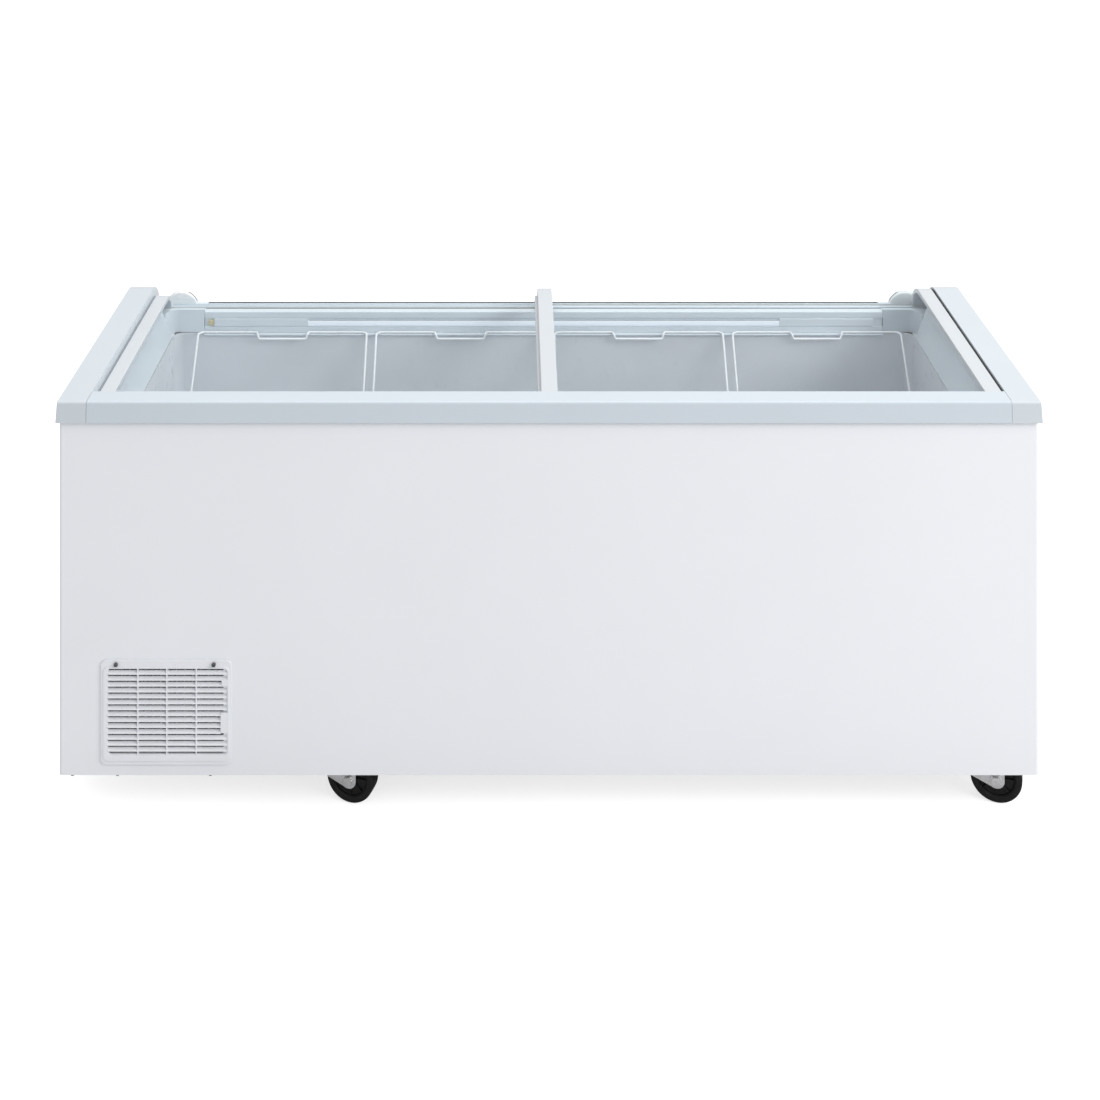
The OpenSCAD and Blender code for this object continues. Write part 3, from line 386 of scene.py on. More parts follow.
def rrect(x0, y0, x1, y1, r, n=6):
    return (arc(x1 - r, y0 + r, r, -90, 0, n) + arc(x1 - r, y1 - r, r, 0, 90, n)
            + arc(x0 + r, y1 - r, r, 90, 180, n) + arc(x0 + r, y0 + r, r, 180, 270, n))


def fillet2(pts, rad, n=4):
    """Round the corners of a closed 2D polygon. rad is one radius or a list, one per corner."""
    out = []
    L = len(pts)
    for i, p in enumerate(pts):
        r = rad[i] if isinstance(rad, (list, tuple)) else rad
        a, b, c = Vector(pts[i - 1]), Vector(p), Vector(pts[(i + 1) % L])
        u, v = (a - b), (c - b)
        lu, lv = u.length, v.length
        if r <= 0 or lu < 1e-9 or lv < 1e-9:
            out.append(tuple(b))
            continue
        u.normalize()
        v.normalize()
        ang = u.angle(v)
        if ang > math.radians(172) or ang < math.radians(4):
            out.append(tuple(b))
            continue
        t = min(r / math.tan(ang / 2), lu * 0.45, lv * 0.45)
        rr = t * math.tan(ang / 2)
        cen = b + (u + v).normalized() * (rr / math.sin(ang / 2))
        s, e = b + u * t, b + v * t
        a0 = math.atan2(s.y - cen.y, s.x - cen.x)
        a1 = math.atan2(e.y - cen.y, e.x - cen.x)
        d = (a1 - a0 + math.pi) % (2 * math.pi) - math.pi
        for k in range(n + 1):
            q = a0 + d * k / n
            out.append((cen.x + rr * math.cos(q), cen.y + rr * math.sin(q)))
    return out


def area2(p):
    return 0.5 * sum(p[i - 1][0] * p[i][1] - p[i][0] * p[i - 1][1] for i in range(len(p)))


def inset2(pts, d):
    """Each point moved inwards by d along its mean normal."""
    s = 1.0 if area2(pts) > 0 else -1.0
    out = []
    L = len(pts)
    for i in range(L):
        a, b, c = Vector(pts[i - 1]), Vector(pts[i]), Vector(pts[(i + 1) % L])
        e1, e2 = (b - a), (c - b)
        if e1.length < 1e-9:
            e1 = e2
        if e2.length < 1e-9:
            e2 = e1
        n1 = Vector((-e1.y, e1.x)).normalized() * s
        n2 = Vector((-e2.y, e2.x)).normalized() * s
        n = n1 + n2
        if n.length < 1e-6:
            n = n1
        n.normalize()
        k = max(0.5, n.dot(n1))
        q = b + n * (d / k)
        out.append((q.x, q.y))
    return out


def sweep(name, pts, a, b, axis, mat, body="cabinet", edge=0.6, hole=None, angle=32):
    """A closed profile run from a to b along an axis, with both end edges rounded.
    axis x: profile is (y, z). axis y: profile is (x, z). axis z: profile is (x, y)."""
    def place(p, t):
        return {"x": (t, p[0], p[1]), "y": (p[0], t, p[1]), "z": (p[0], p[1], t)}[axis]
    e = edge
    secs = [(a, e), (a + 0.3 * e, 0.3 * e), (a + e, 0), (b - e, 0), (b - 0.3 * e, 0.3 * e), (b, e)] if e > 0 else [(a, 0), (b, 0)]
    n = len(pts)
    verts, faces = [], []
    loops = [(pts, 1)] + ([(hole, -1)] if hole else [])
    bases = []
    for prof, sgn in loops:
        base = len(verts)
        bases.append((base, len(prof)))
        for t, d in secs:
            pr = inset2(prof, d * sgn) if d else prof
            for p in pr:
                v = place(p, t)
                verts.append((v[0] * M, v[1] * M, v[2] * M))
        m = len(prof)
        for k in range(len(secs) - 1):
            for i in range(m):
                j = (i + 1) % m
                faces.append((base + k * m + i, base + k * m + j, base + (k + 1) * m + j, base + (k + 1) * m + i))
    last = len(secs) - 1
    if hole is None:
        faces.append(tuple(range(n)))
        faces.append(tuple(range(last * n, (last + 1) * n)))
    else:
        (b0, m0), (b1, m1) = bases
        assert m0 == m1
        for k in (0, last):
            for i in range(m0):
                j = (i + 1) % m0
                faces.append((b0 + k * m0 + i, b0 + k * m0 + j, b1 + k * m0 + j, b1 + k * m0 + i))
    return build(name, verts, faces, mat, body, angle=angle)


def lathe(name, prof, centre, mat, body="cabinet", axis=(0, 0, 1), n=72, a0=0.0, a1=360.0, angle=32):
    """Profile of (radius, height) turned about an axis through centre."""
    z = Vector(axis).normalized()
    x = Vector((1, 0, 0)) if abs(z.x) < 0.5 else Vector((0, 1, 0))
    x = (x - z * x.dot(z)).normalized()
    y = z.cross(x)
    c = Vector(centre)
    full = abs(a1 - a0) >= 359.9
    cnt = n if full else n + 1
    verts, faces = [], []
    for i in range(cnt):
        a = math.radians(a0 + (a1 - a0) * i / n)
        d = x * math.cos(a) + y * math.sin(a)
        for r, h in prof:
            verts.append(tuple((c + d * r + z * h) * M))
    m = len(prof)
    for i in range(n):
        j = (i + 1) % cnt
        for k in range(m - 1):
            faces.append((i * m + k, j * m + k, j * m + k + 1, i * m + k + 1))
    if not full:
        faces.append(tuple(range(m)))
        faces.append(tuple(range((cnt - 1) * m, cnt * m)))
    return build(name, verts, faces, mat, body, angle=angle, weld=True)


def round_path(pts, r, n=6, closed=False):
    """Round the corners of a 3D polyline."""
    P = [Vector(p) for p in pts]
    out = []
    L = len(P)
    rng = range(L) if closed else range(1, L - 1)
    if not closed:
        out.append(P[0])
    for i in rng:
        a, b, c = P[i - 1], P[i], P[(i + 1) % L]
        rr = r[i] if isinstance(r, (list, tuple)) else r
        u, v = a - b, c - b
        lu, lv = u.length, v.length
        u.normalize()
        v.normalize()
        ang = u.angle(v)
        if rr <= 0 or ang > math.radians(176):
            out.append(b)
            continue
        t = min(rr / math.tan(ang / 2), lu * 0.48, lv * 0.48)
        s, e = b + u * t, b + v * t
        rr2 = t * math.tan(ang / 2)
        cen = b + (u + v).normalized() * (rr2 / math.sin(ang / 2))
        s0, e0 = s - cen, e - cen
        tot = s0.angle(e0)
        for k in range(n + 1):
            q = k / n
            d = (s0 * math.sin((1 - q) * tot) + e0 * math.sin(q * tot)) / math.sin(tot)
            out.append(cen + d)
    if not closed:
        out.append(P[-1])
    return out


def tube_data(path, r, segs=10, closed=False, cap=True):
    P = [Vector(p) for p in path]
    n = len(P)
    verts, faces = [], []
    t0 = (P[1] - P[0]).normalized()
    nrm = t0.orthogonal().normalized()
    prev = t0
    frames = []
    for i in range(n):
        if closed:
            t = (P[(i + 1) % n] - P[i - 1]).normalized()
        elif i == 0:
            t = t0
        elif i == n - 1:
            t = (P[i] - P[i - 1]).normalized()
        else:
            t = ((P[i + 1] - P[i]).normalized() + (P[i] - P[i - 1]).normalized()).normalized()
        q = prev.rotation_difference(t)
        nrm = (q @ nrm).normalized()
        nrm = (nrm - t * nrm.dot(t)).normalized()
        prev = t
        frames.append((P[i], t, nrm.copy()))
    twist = 0.0
    if closed:
        q = prev.rotation_difference(frames[0][1])
        back = (q @ nrm).normalized()
        x, y = frames[0][2], frames[0][1].cross(frames[0][2])
        twist = math.atan2(back.dot(y), back.dot(x))
    for i, (p, t, nn) in enumerate(frames):
        bb = t.cross(nn)
        off = -twist * i / n
        for k in range(segs):
            a = 2 * math.pi * k / segs + off
            verts.append(tuple((p + nn * (r * math.cos(a)) + bb * (r * math.sin(a))) * M))
    last = n if closed else n - 1
    for i in range(last):
        j = (i + 1) % n
        for k in range(segs):
            l = (k + 1) % segs
            faces.append((i * segs + k, i * segs + l, j * segs + l, j * segs + k))
    if cap and not closed:
        # rounded wire ends
        for end, (p, t, nn) in ((0, frames[0]), (n - 1, frames[-1])):
            sgn = -1 if end == 0 else 1
            bb = t.cross(nn)
            base = len(verts)
            for k in range(segs):
                a = 2 * math.pi * k / segs
                verts.append(tuple((p + t * (sgn * r * 0.5) + nn * (r * 0.75 * math.cos(a)) + bb * (r * 0.75 * math.sin(a))) * M))
            for k in range(segs):
                l = (k + 1) % segs
                faces.append((end * segs + k, end * segs + l, base + l, base + k))
            faces.append(tuple(range(base, base + segs)))
    return verts, faces


def tubes(name, items, mat, body="cabinet"):
    """items: (path, radius, closed, segments)"""
    verts, faces = [], []
    for path, r, closed, segs in items:
        v, f = tube_data(path, r, segs, closed)
        o = len(verts)
        verts += v
        faces += [tuple(i + o for i in q) for q in f]
    o = build(name, verts, faces, mat, body, angle=50)
    o.modifiers.clear()
    return o


def cut(o, cutter):
    md = o.modifiers.new("cut", "BOOLEAN")
    md.operation = "DIFFERENCE"
    md.solver = "EXACT"
    md.object = cutter
    apply_mods(o)
    d = cutter.data
    bpy.data.objects.remove(cutter)
    bpy.data.meshes.remove(d)


def plain_box(name, a, b):
    v = [(x * M, y * M, z * M) for x in (a[0], b[0]) for y in (a[1], b[1]) for z in (a[2], b[2])]
    f = [(0, 1, 3, 2), (4, 6, 7, 5), (0, 4, 5, 1), (2, 3, 7, 6), (0, 2, 6, 4), (1, 5, 7, 3)]
    me = bpy.data.meshes.new(name)
    me.from_pydata(v, [], f)
    bm = bmesh.new()
    bm.from_mesh(me)
    bmesh.ops.recalc_face_normals(bm, faces=bm.faces)
    bm.to_mesh(me)
    bm.free()
    o = bpy.data.objects.new(name, me)
    bpy.context.scene.collection.objects.link(o)
    return o


def soft_box(name, a, b, r, mat, body="cabinet", seg=3):
    """A moulded block with every edge rounded."""
    o = plain_box(name, a, b)
    o.data.materials.append(MAT[mat])
    apply_bevel(o, r * M, seg)
    shade(o)
    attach(o, body)
    return o


def stand_for(o, *nodes):
    have = [n for n in nodes if n in NODES]
    if have:
        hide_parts(*have)
    return o


def slot_of(node_name):
    for s in frame["record"]["subparts"]:
        if s["node"] == node_name:
            return


# ------------------------------------------------------------------ key places, millimetres, from the frame
def nb(name):
    lo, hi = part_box(name)
    return [v / M for v in lo], [v / M for v in hi]


(sx0, sy0, sz0), (sx1, sy1, sz1) = nb("outer_shell")
(rx0, ry0, rz0), (rx1, ry1, rz1) = nb("front_rim")
(clx0, cly0, clz0), (clx1, cly1, clz1) = nb("end_cap_left")
(crx0, cry0, crz0), (crx1, cry1, crz1) = nb("end_cap_right")
(gx0, gy0, gz0), (gx1, gy1, gz1) = nb("front_grille")
(lgx0, lgy0, lgz0), (lgx1, lgy1, lgz1) = nb("lower_lid_glass")
(ugx0, ugy0, ugz0), (ugx1, ugy1, ugz1) = nb("upper_lid_glass")
TOP = rz1
CAPX = crx0
BY, BZ = 236.0, TOP - 70.0
RU = ugz1 - BZ
RL = lgz1 - BZ

# ------------------------------------------------------------------ steel wrap
outer = rrect(sx0, sy0, sx1, sy1, 6, 8)
inner = rrect(sx0 + 1, sy0 + 1, sx1 - 1, sy1 - 1, 5, 8)
shell = sweep("cabinet_wrap", outer, sz0, sz1, "z", "white_steel", hole=inner, edge=0.25)
cut(shell, plain_box("c1", (sx0 - 5, 226, 690), (sx1 + 5, sy1 + 5, sz1 + 5)))
cut(shell, plain_box("c2", (gx0 + 14, sy0 - 5, gz0 + 20), (gx1 - 16, sy0 + 5, gz1 - 15)))
cut(shell, plain_box("c3", (-886, sy1 - 5, 112), (-612, sy1 + 5, 352)))
shell.data.materials.clear()
shell.data.materials.append(MAT["white_steel"])
shade(shell, True, 30)
# hemmed bottom edges turned under, left and right
hems = []
for s in (-1, 1):
    x1 = s * (sx1 - 1.2)
    x2 = s * (sx1 - 17)
    hems.append(sweep("hem", [(min(x1, x2), sz0 + 0.2), (max(x1, x2), sz0 + 0.2), (max(x1, x2), sz0 + 1.2), (min(x1, x2), sz0 + 1.2)],
                      sy0 + 12, sy1 - 12, "y", "white_steel", edge=0.3))
shell = join("cabinet_wrap_shell", [shell] + hems)
stand_for(shell, "outer_shell")
slot_of("outer_shell")

# ------------------------------------------------------------------ front rim
ff = ry0 + 2
rim_p = [(ff - 2.2, 750.2), (ff, TOP), (-274.2, TOP), (-274.2, 776), (-262, 776), (-262, 761), (-250, 761), (-250, 757.6), (-277, 757.6),
         (-277, TOP - 4), (ff + 4, TOP - 4), (ff + 1.2, 753), (-314.5, 753), (-314.5, 750.2)]
rim = sweep("front_rim_moulding", fillet2(rim_p, [1.2, 4.5, 2.0, 0.8, 1.2, 0.8, 1.0, 0.8, 0.5, 0.5, 0.5, 0.5, 0.3, 0.3], 5),
            rx0, rx1, "x", "frame_grey", edge=1.0)
stand_for(rim, "front_rim")
slot_of("front_rim")

brk = sweep("front_breaker_moulding", fillet2([(-272, 681), (-251, 681), (-251, 684), (-262, 684), (-262, 687), (-260.6, 692), (-260.6, 757), (-263.6, 757),
                                              (-263.6, 693), (-265.5, 687), (-272, 687)], 0.7, 3), -837, 837, "x", "trim_grey", edge=0.4)
stand_for(brk, "front_breaker")
slot_of("front_breaker")


# ------------------------------------------------------------------ end caps
def end_cap(name, s, src):
    x_in = CAPX
    top = arc(BY, BZ, TOP - BZ, 90, 0, 28)
    side = [(cly0 + 0.2, 750.3), (ff, TOP)] + top + [(cly1 - 0.1, 690.3), (227, 690.3), (227, 750.3)]
    side = fillet2([side[0], side[1]], [0, 0], 1) + side[2:]
    # front top edge rounded
    front = fillet2([(cly0 + 0.2, 750.3), (ff, TOP), (100.0, TOP), (100.0, 750.3)], [0, 5, 0, 0], 6)
    side = front[:-2] + top + [(cly1 - 0.1, 690.3), (227, 690.3), (227, 750.3)]
    x_out = lambda z: clx_out + (TOP - z) * 0.06
    clx_out = abs(crx1) - 4.0
    verts, faces = [], []
    for y, z in side:
        verts.append((s * x_in * M, y * M, z * M))
    for y, z in side:
        verts.append((s * x_out(z) * M, y * M, z * M))
    n = len(side)
    for i in range(n):
        j = (i + 1) % n
        faces.append((i, j, n + j, n + i))
    faces.append(tuple(range(n)))
    faces.append(tuple(range(n, 2 * n)))
    o = build(name, verts, faces, "cap_grey")
    # soften: outer edge generously, others a little
    bm = bmesh.new()
    bm.from_mesh(o.data)
    bm.edges.ensure_lookup_table()
    outer_e, other_e = [], []
    for e in bm.edges:
        if len(e.link_faces) != 2:
            continue
        if e.calc_face_angle(0) < math.radians(28):
            continue
        a, b = e.verts[0].co / M, e.verts[1].co / M
        if abs(a.x) > x_in + 20 and abs(b.x) > x_in + 20 and min(a.z, b.z) > 700 and not (abs(a.y + 322) < 3 and abs(b.y + 322) < 3 and abs(a.z - b.z) > 20):
            outer_e.append(e)
        else:
            other_e.append(e)
    bmesh.ops.bevel(bm, geom=outer_e, offset=5.0 * M, segments=5, profile=0.5, affect="EDGES", clamp_overlap=True)
    bm.to_mesh(o.data)
    bm.free()
    apply_bevel(o, 1.1 * M, 2, 34)
    shade(o, True, 34)
    stand_for(o, src)
    slot_of(src)
    return o


end_cap("end_cap_moulding_left", -1, "end_cap_left")
end_cap("end_cap_moulding_right", 1, "end_cap_right")

# ------------------------------------------------------------------ rear rail, corner blocks, hoods
rail_p = [(260, 655), (259, 676), (250, 681), (250, 684), (260, 684), (260, 697), (263, 697), (263, 716), (260, 716), (260, 730),
          (280.8, 730), (280.8, 724), (289.2, 724), (289.2, 730), (295.8, 730), (295.8, 724), (304.2, 724), (304.2, 730), (316, 730),
          (316, 691), (314, 690.3), (313, 690.3), (312.6, 720.5), (264.5, 720.5), (264.5, 655)]
rail_r = [0.8, 3, 1.2, 1.2, 1.0, 0.6, 0.6, 0.6, 0.6, 2.0, 0.8, 0.5, 0.5, 0.8, 0.8, 0.5, 0.5, 0.8, 2.0, 0.8, 0.3, 0.3, 0.5, 0.5, 0.3]
# the rail takes the paler grey copy: painted light on its face
rail = sweep("rear_rail_moulding", fillet2(rail_p, rail_r, 4), -760, 760, "x", "grey_with_painted_light", edge=0.5)
stand_for(rail, "rear_rail")
slot_of("rear_rail")


def corner_block(name, s, src):
    plan = [(760.3, 260)] + arc(814, 234, 26, 90, 0, 14) + [(840, 227.2), (840.6, 226.6), (CAPX - 0.9, 226.6), (CAPX - 0.3, 227.2), (CAPX - 0.3, 280.8), (760.3, 280.8)]
    brow = [(760.3, 260.2)] + arc(814, 234, 26.2, 90, 0, 14) + [(840.2, 227.2), (840.8, 226.7), (CAPX - 0.9, 226.7), (CAPX - 0.5, 227.2), (CAPX - 0.5, 266), (760.3, 266)]
    mid = [(760.3, 289.2), (CAPX - 0.3, 289.2), (CAPX - 0.3, 295.8), (760.3, 295.8)]
    back = fillet2([(760.3, 304.2), (CAPX - 0.3, 304.2), (CAPX - 0.3, 316), (760.3, 316)], [0, 0, 1, 1], 3)
    low = [(760.3, 261)] + arc(814, 234, 27, 90, 0, 14) + [(841, 227), (CAPX - 0.5, 227), (CAPX - 0.5, 315.6), (760.3, 315.6)]
    obs = []
    for tag, pl, z0, z1 in (("a", plan, 684.3, 730), ("e", brow, 729, 735), ("b", mid, 722, 730), ("c", back, 691, 730), ("d", low, 690.6, 724)):
        pl = [(s * x, y) for x, y in pl]
        # left block in the paler grey copy, painted light for the key light on it; right block keeps the plain grey
        obs.append(sweep(name + tag, pl, z0, z1, "z", "grey_with_painted_light" if s < 0 else "frame_grey", edge=0.5))
    o = join(name, obs)
    stand_for(o, src)
    slot_of(src)
    return o


corner_block("corner_block_moulding_left", -1, "corner_block_left")
corner_block("corner_block_moulding_right", 1, "corner_block_right")

hoods = []
for s in (-1, 1):
    prof = [(s * 822 + 37.9 * math.cos(math.radians(a)), 718 + 37.9 * math.sin(math.radians(a))) for a in (19.2 + 141.6 * q / 40 for q in range(41))]
    prof += [(s * 822 - 36, 724), (s * 822 + 36, 724)]
    h = sweep("hood%d" % s, prof, 305.6, 321.9, "y", "hood_white", edge=3.6)
    hoods.append(h)
h = join("corner_hood_mouldings", hoods)
shade(h, True, 40)
stand_for(h, "corner_hoods")
slot_of("corner_hoods")

# thin black bead along the inward side of each hood: painted shade for the groove there
beads = []
for s in (-1, 1):
    pts = []
    for k in range(13):
        a = math.radians(24 + 42 * k / 12)
        pts.append((s * (822 - 38.1 * math.cos(a)), 315.5, 718 + 38.1 * math.sin(a)))
    beads.append((pts, 1.0, False, 8))
b = tubes("hood_bead", beads, "rubber")
slot_of("lid_seals")

# dark wiper beads along both lips of the rear rail, and along the lamp cover
b = tubes("rail_wiper_beads", [([(-759, 311.6, 730.4), (759, 311.6, 730.4)], 1.8, False, 8), ([(-759, 279.0, 729.6), (759, 279.0, 729.6)], 1.2, False, 8)], "rubber")
slot_of("rear_rail")
b = tubes("lamp_cover_bead", [([(-526, 259.5, 711.5), (527, 259.5, 711.5)], 0.7, False, 8)], "rubber")
slot_of("lamp_diffuser")

# ------------------------------------------------------------------ side trims
for s, src in ((-1, "side_trim_left"), (1, "side_trim_right")):
    p = [(826, 684.4), (827, 688), (848, 748), (852, 753), (866, 757.5), (CAPX - 0.4, 757.5), (CAPX - 0.4, 754.5), (868, 754.5),
         (854.5, 750.5), (851.5, 747), (831, 688), (838, 687.4), (838, 684.4)]
    p = [(s * x, z) for x, z in p]
    o = sweep(src + "_moulding", fillet2(p, [0.6, 4, 6, 5, 3, 0.4, 0.4, 2, 3, 3, 1, 0.5, 0.5], 5), -250, 226, "y", "trim_grey", edge=0.4)
    stand_for(o, src)
    slot_of(src)


# ------------------------------------------------------------------ lids
def lid_path(r, y0, z_end, n=30):
    pts = [((y0, BZ + r), (0, 1))]
    for y in (-150, 0, 120, 200):
        if y > y0:
            pts.append(((y, BZ + r), (0, 1)))
    a_end = math.degrees(math.asin(max(0.0, (z_end - BZ)) / r))
    for k in range(n + 1):
        a = math.radians(90 + (a_end - 90) * k / n)
        pts.append(((BY + r * math.cos(a), BZ + r * math.sin(a)), (math.cos(a), math.sin(a))))
    return pts


def sheet(name, path, sect, mat, body, src=None, angle=32):
    """A closed section of (x, offset) run along a side path of points with normals."""
    verts, faces = [], []
    m = len(sect)
    n = len(path)
    for (y, z), (ny, nz) in path:
        for x, d in sect:
            verts.append((x * M, (y + ny * d) * M, (z + nz * d) * M))
    for i in range(n - 1):
        for k in range(m):
            l = (k + 1) % m
            faces.append((i * m + k, i * m + l, (i + 1) * m + l, (i + 1) * m + k))
    faces.append(tuple(range(m)))
    faces.append(tuple(range((n - 1) * m, n * m)))
    return build(name, verts, faces, mat, body, angle=angle)


def lid(tag, r, body, g0, g1, gy, strips, sy_, src_g, src_s):
    t = 4.0
    glass = sheet(tag + "_glass_sheet", lid_path(r, gy, 725.6), fillet2([(g0, 0), (g1, 0), (g1, -t), (g0, -t)], 1.0, 3), "glass", body)
    stand_for(glass, src_g)
    slot_of(src_g)
    obs = []
    for a, b in strips:
        sec = fillet2([(a, 1), (b, 1), (b, -9), (a, -9)], [1.8, 1.8, 1.2, 1.2], 4)
        obs.append(sheet(tag + "_strip", lid_path(r, sy_, 732.6), sec, "lid_frame", body))
    o = join(tag + "_end_strips", obs, body)
    stand_for(o, src_s)
    slot_of(src_s)


(usx0, usy0, _), (usx1, _, _) = nb("upper_lid_strips")
(lsx0, lsy0, _), (lsx1, _, _) = nb("lower_lid_strips")
lid("upper_lid", RU, "upper_lid", ugx0, ugx1, ugy0, [(usx0, usx0 + 32), (usx1 - 32, usx1)], usy0, "upper_lid_glass", "upper_lid_strips")
lid("lower_lid", RL, "lower_lid", lgx0, lgx1, lgy0, [(lsx1 - 32, lsx1), (lsx0, lsx0 + 29)], lsy0, "lower_lid_glass", "lower_lid_strips")

for tag, r, body in (("upper_lid", RU, "upper_lid"), ("lower_lid", RL, "lower_lid")):
    (a0, a1, a2), (b0, b1, b2) = nb(tag + "_runners")
    yf = a1
    p = fillet2([(yf, BZ + r - 9.7), (yf + 7, BZ + r - 9.7), (yf + 7, BZ + r - 4.2), (yf, BZ + r - 4.2)], [1.5, 1.5, 0.5, 0.5], 3)
    f = sweep(tag + "_front_glide", p, a0, b0, "x", "lid_frame", body, edge=0.4)
    q = [(BY + r - 5.6, 724.4), (BY + r + 1.6, 724.4), (BY + r + 1.6, 730.9), (BY + r + 0.1, 730.9), (BY + r + 0.1, 725.5), (BY + r - 4.1, 725.5),
         (BY + r - 4.1, 730.9), (BY + r - 5.6, 730.9)]
    g = sweep(tag + "_rear_glide", fillet2(q, 0.4, 2), a0, b0, "x", "lid_frame", body, edge=0.3)
    o = join(tag + "_glides", [f, g], body)
    stand_for(o, tag + "_runners")
    slot_of(tag + "_runners")

# seals between the lids' ends and the end caps
seals = []
for s, r in ((1, RU), (-1, RL)):
    a, bb = s * (CAPX - 3.4), s * (CAPX - 0.1)
    sec = fillet2([(min(a, bb), 0), (max(a, bb), 0), (max(a, bb), -9), (min(a, bb), -9)], 0.8, 3)
    seals.append(sheet("seal", lid_path(r, -270 if s > 0 else -258, 731.3), sec, "rubber" if s > 0 else "seal_grey", "cabinet"))
o = join("lid_end_seals", seals)
stand_for(o, "lid_seals")
slot_of("lid_seals")


# ------------------------------------------------------------------ liner
def liner():
    x0, x1, ya, yb, zf, zs, xs, zt = -825, 825, -262, 258, 190, 440, -545, 684
    prof = [(x0, zt), (x0, zs), (xs, zs), (xs, zf), (x1, zf), (x1, zt)]
    prof = fillet2(prof, [0, 22, 3, 22, 22, 0], 6)
    verts, faces = [], []
    # front and rear walls carry rounded edges to the floor: sections shrink towards each wall
    R = 20.0
    secs = []
    for k in range(7):
        a = math.radians(90 * k / 6)
        secs.append((ya + R * (1 - math.sin(a)), R * (1 - math.cos(a))))
    secs = list(reversed(secs)) + [(ya + yb - y, d) for y, d in secs]
    secs.sort(key=lambda q: q[0])
    m = len(prof)

    def shrink(d):
        out = []
        for i in range(m):
            x, z = prof[i]
            out.append((x, z))
        if d <= 0:
            return out
        # move inwards, but keep the open top level
        closed = [(x0, zt)] + [(x0, zt + 400)] + [(x1, zt + 400)] + [(x1, zt)]
        full = prof + [(x1, zt + 400), (x0, zt + 400)]
        ins = inset2(full, d)[:m]
        ins[0] = (ins[0][0], zt)
        ins[-1] = (ins[-1][0], zt)
        return ins
    for y, d in secs:
        for x, z in shrink(d):
            verts.append((x * M, y * M, z * M))
    n = len(secs)
    for i in range(n - 1):
        for k in range(m - 1):
            faces.append((i * m + k, i * m + k + 1, (i + 1) * m + k + 1, (i + 1) * m + k))
    faces.append(tuple(range(m)))
    faces.append(tuple(range((n - 1) * m, n * m)))
    me = bpy.data.meshes.new("tank_liner")
    me.from_pydata(verts, [], faces)
    bm = bmesh.new()
    bm.from_mesh(me)
    bmesh.ops.recalc_face_normals(bm, faces=bm.faces)
    # normals point into the tank
    bm.faces.ensure_lookup_table()
    f = max(bm.faces, key=lambda q: q.calc_area())
    c = f.calc_center_median()
    if f.normal.dot(Vector((0, 0, 0.5)) - c) < 0:
        bmesh.ops.reverse_faces(bm, faces=bm.faces)
    bm.to_mesh(me)
    bm.free()
    o = bpy.data.objects.new("tank_liner", me)
    bpy.context.scene.collection.objects.link(o)
    me.materials.append(MAT["liner"])
    md = o.modifiers.new("wall", "SOLIDIFY")
    md.thickness = 1.0 * M
    md.offset = -1.0
    apply_mods(o)
    cyl = lathe("hole", [(0, 150), (12, 150), (12, 200), (0, 200)], (500, 120, 0), "liner", n=40)
    cut(o, cyl)
    # side flanges
    parts = [o]
    for s in (-1, 1):
        a, b = sorted((s * 825.5, s * 840))
        parts.append(sweep("fl", [(a, 683), (b, 683), (b, 684), (a, 684)], -262, 258, "y", "liner", edge=0.2))
    res = join("tank_liner_pressing", parts)
    for mslot in range(len(res.data.materials)):
        res.data.materials[mslot] = MAT["liner"]
    shade(res, True, 30)
    stand_for(res, "inner_liner")
    slot_of("inner_liner")


liner()

# ------------------------------------------------------------------ lamp
lens = sweep("lamp_lens", fillet2([(262.9, 698), (260.0, 698), (258.8, 700), (258.4, 704.8), (258.8, 709.6), (260.0, 711.6), (262.9, 711.6),
                                   (262.9, 710.8), (260.6, 710.6), (259.7, 704.8), (260.6, 699), (262.9, 698.8)], 0.5, 3), -528, 528, "x", "lens", edge=0.3)
stand_for(lens, "lamp_diffuser")
slot_of("lamp_diffuser")
cov = []
for s in (-1, 1):
    a, b = sorted((s * 528.4, s * 738))
    # end covers in the paler grey copy: painted light
    cov.append(sweep("cover", fillet2([(262.9, 697.4), (259.4, 697.4), (258.6, 699.5), (258.6, 713.5), (259.4, 715.6), (262.9, 715.6)], 0.8, 3), a, b, "x",
                     "grey_with_painted_light", edge=0.8))
o = join("lamp_end_cover_mouldings", cov)
stand_for(o, "lamp_end_covers")
slot_of("lamp_end_covers")
o = soft_box("lamp_plug_block", (-750, 257.8, 700.2), (-739, 262.8, 711.8), 0.8, "connector")
stand_for(o, "lamp_connector")
slot_of("lamp_connector")
w = tubes("lamp_lead", [(round_path([(-739, 260.3, 707.5), (-735, 260.3, 707.5), (-733, 260.6, 705)], 1.5), 0.9, False, 8)], "connector")
slot_of("lamp_connector")


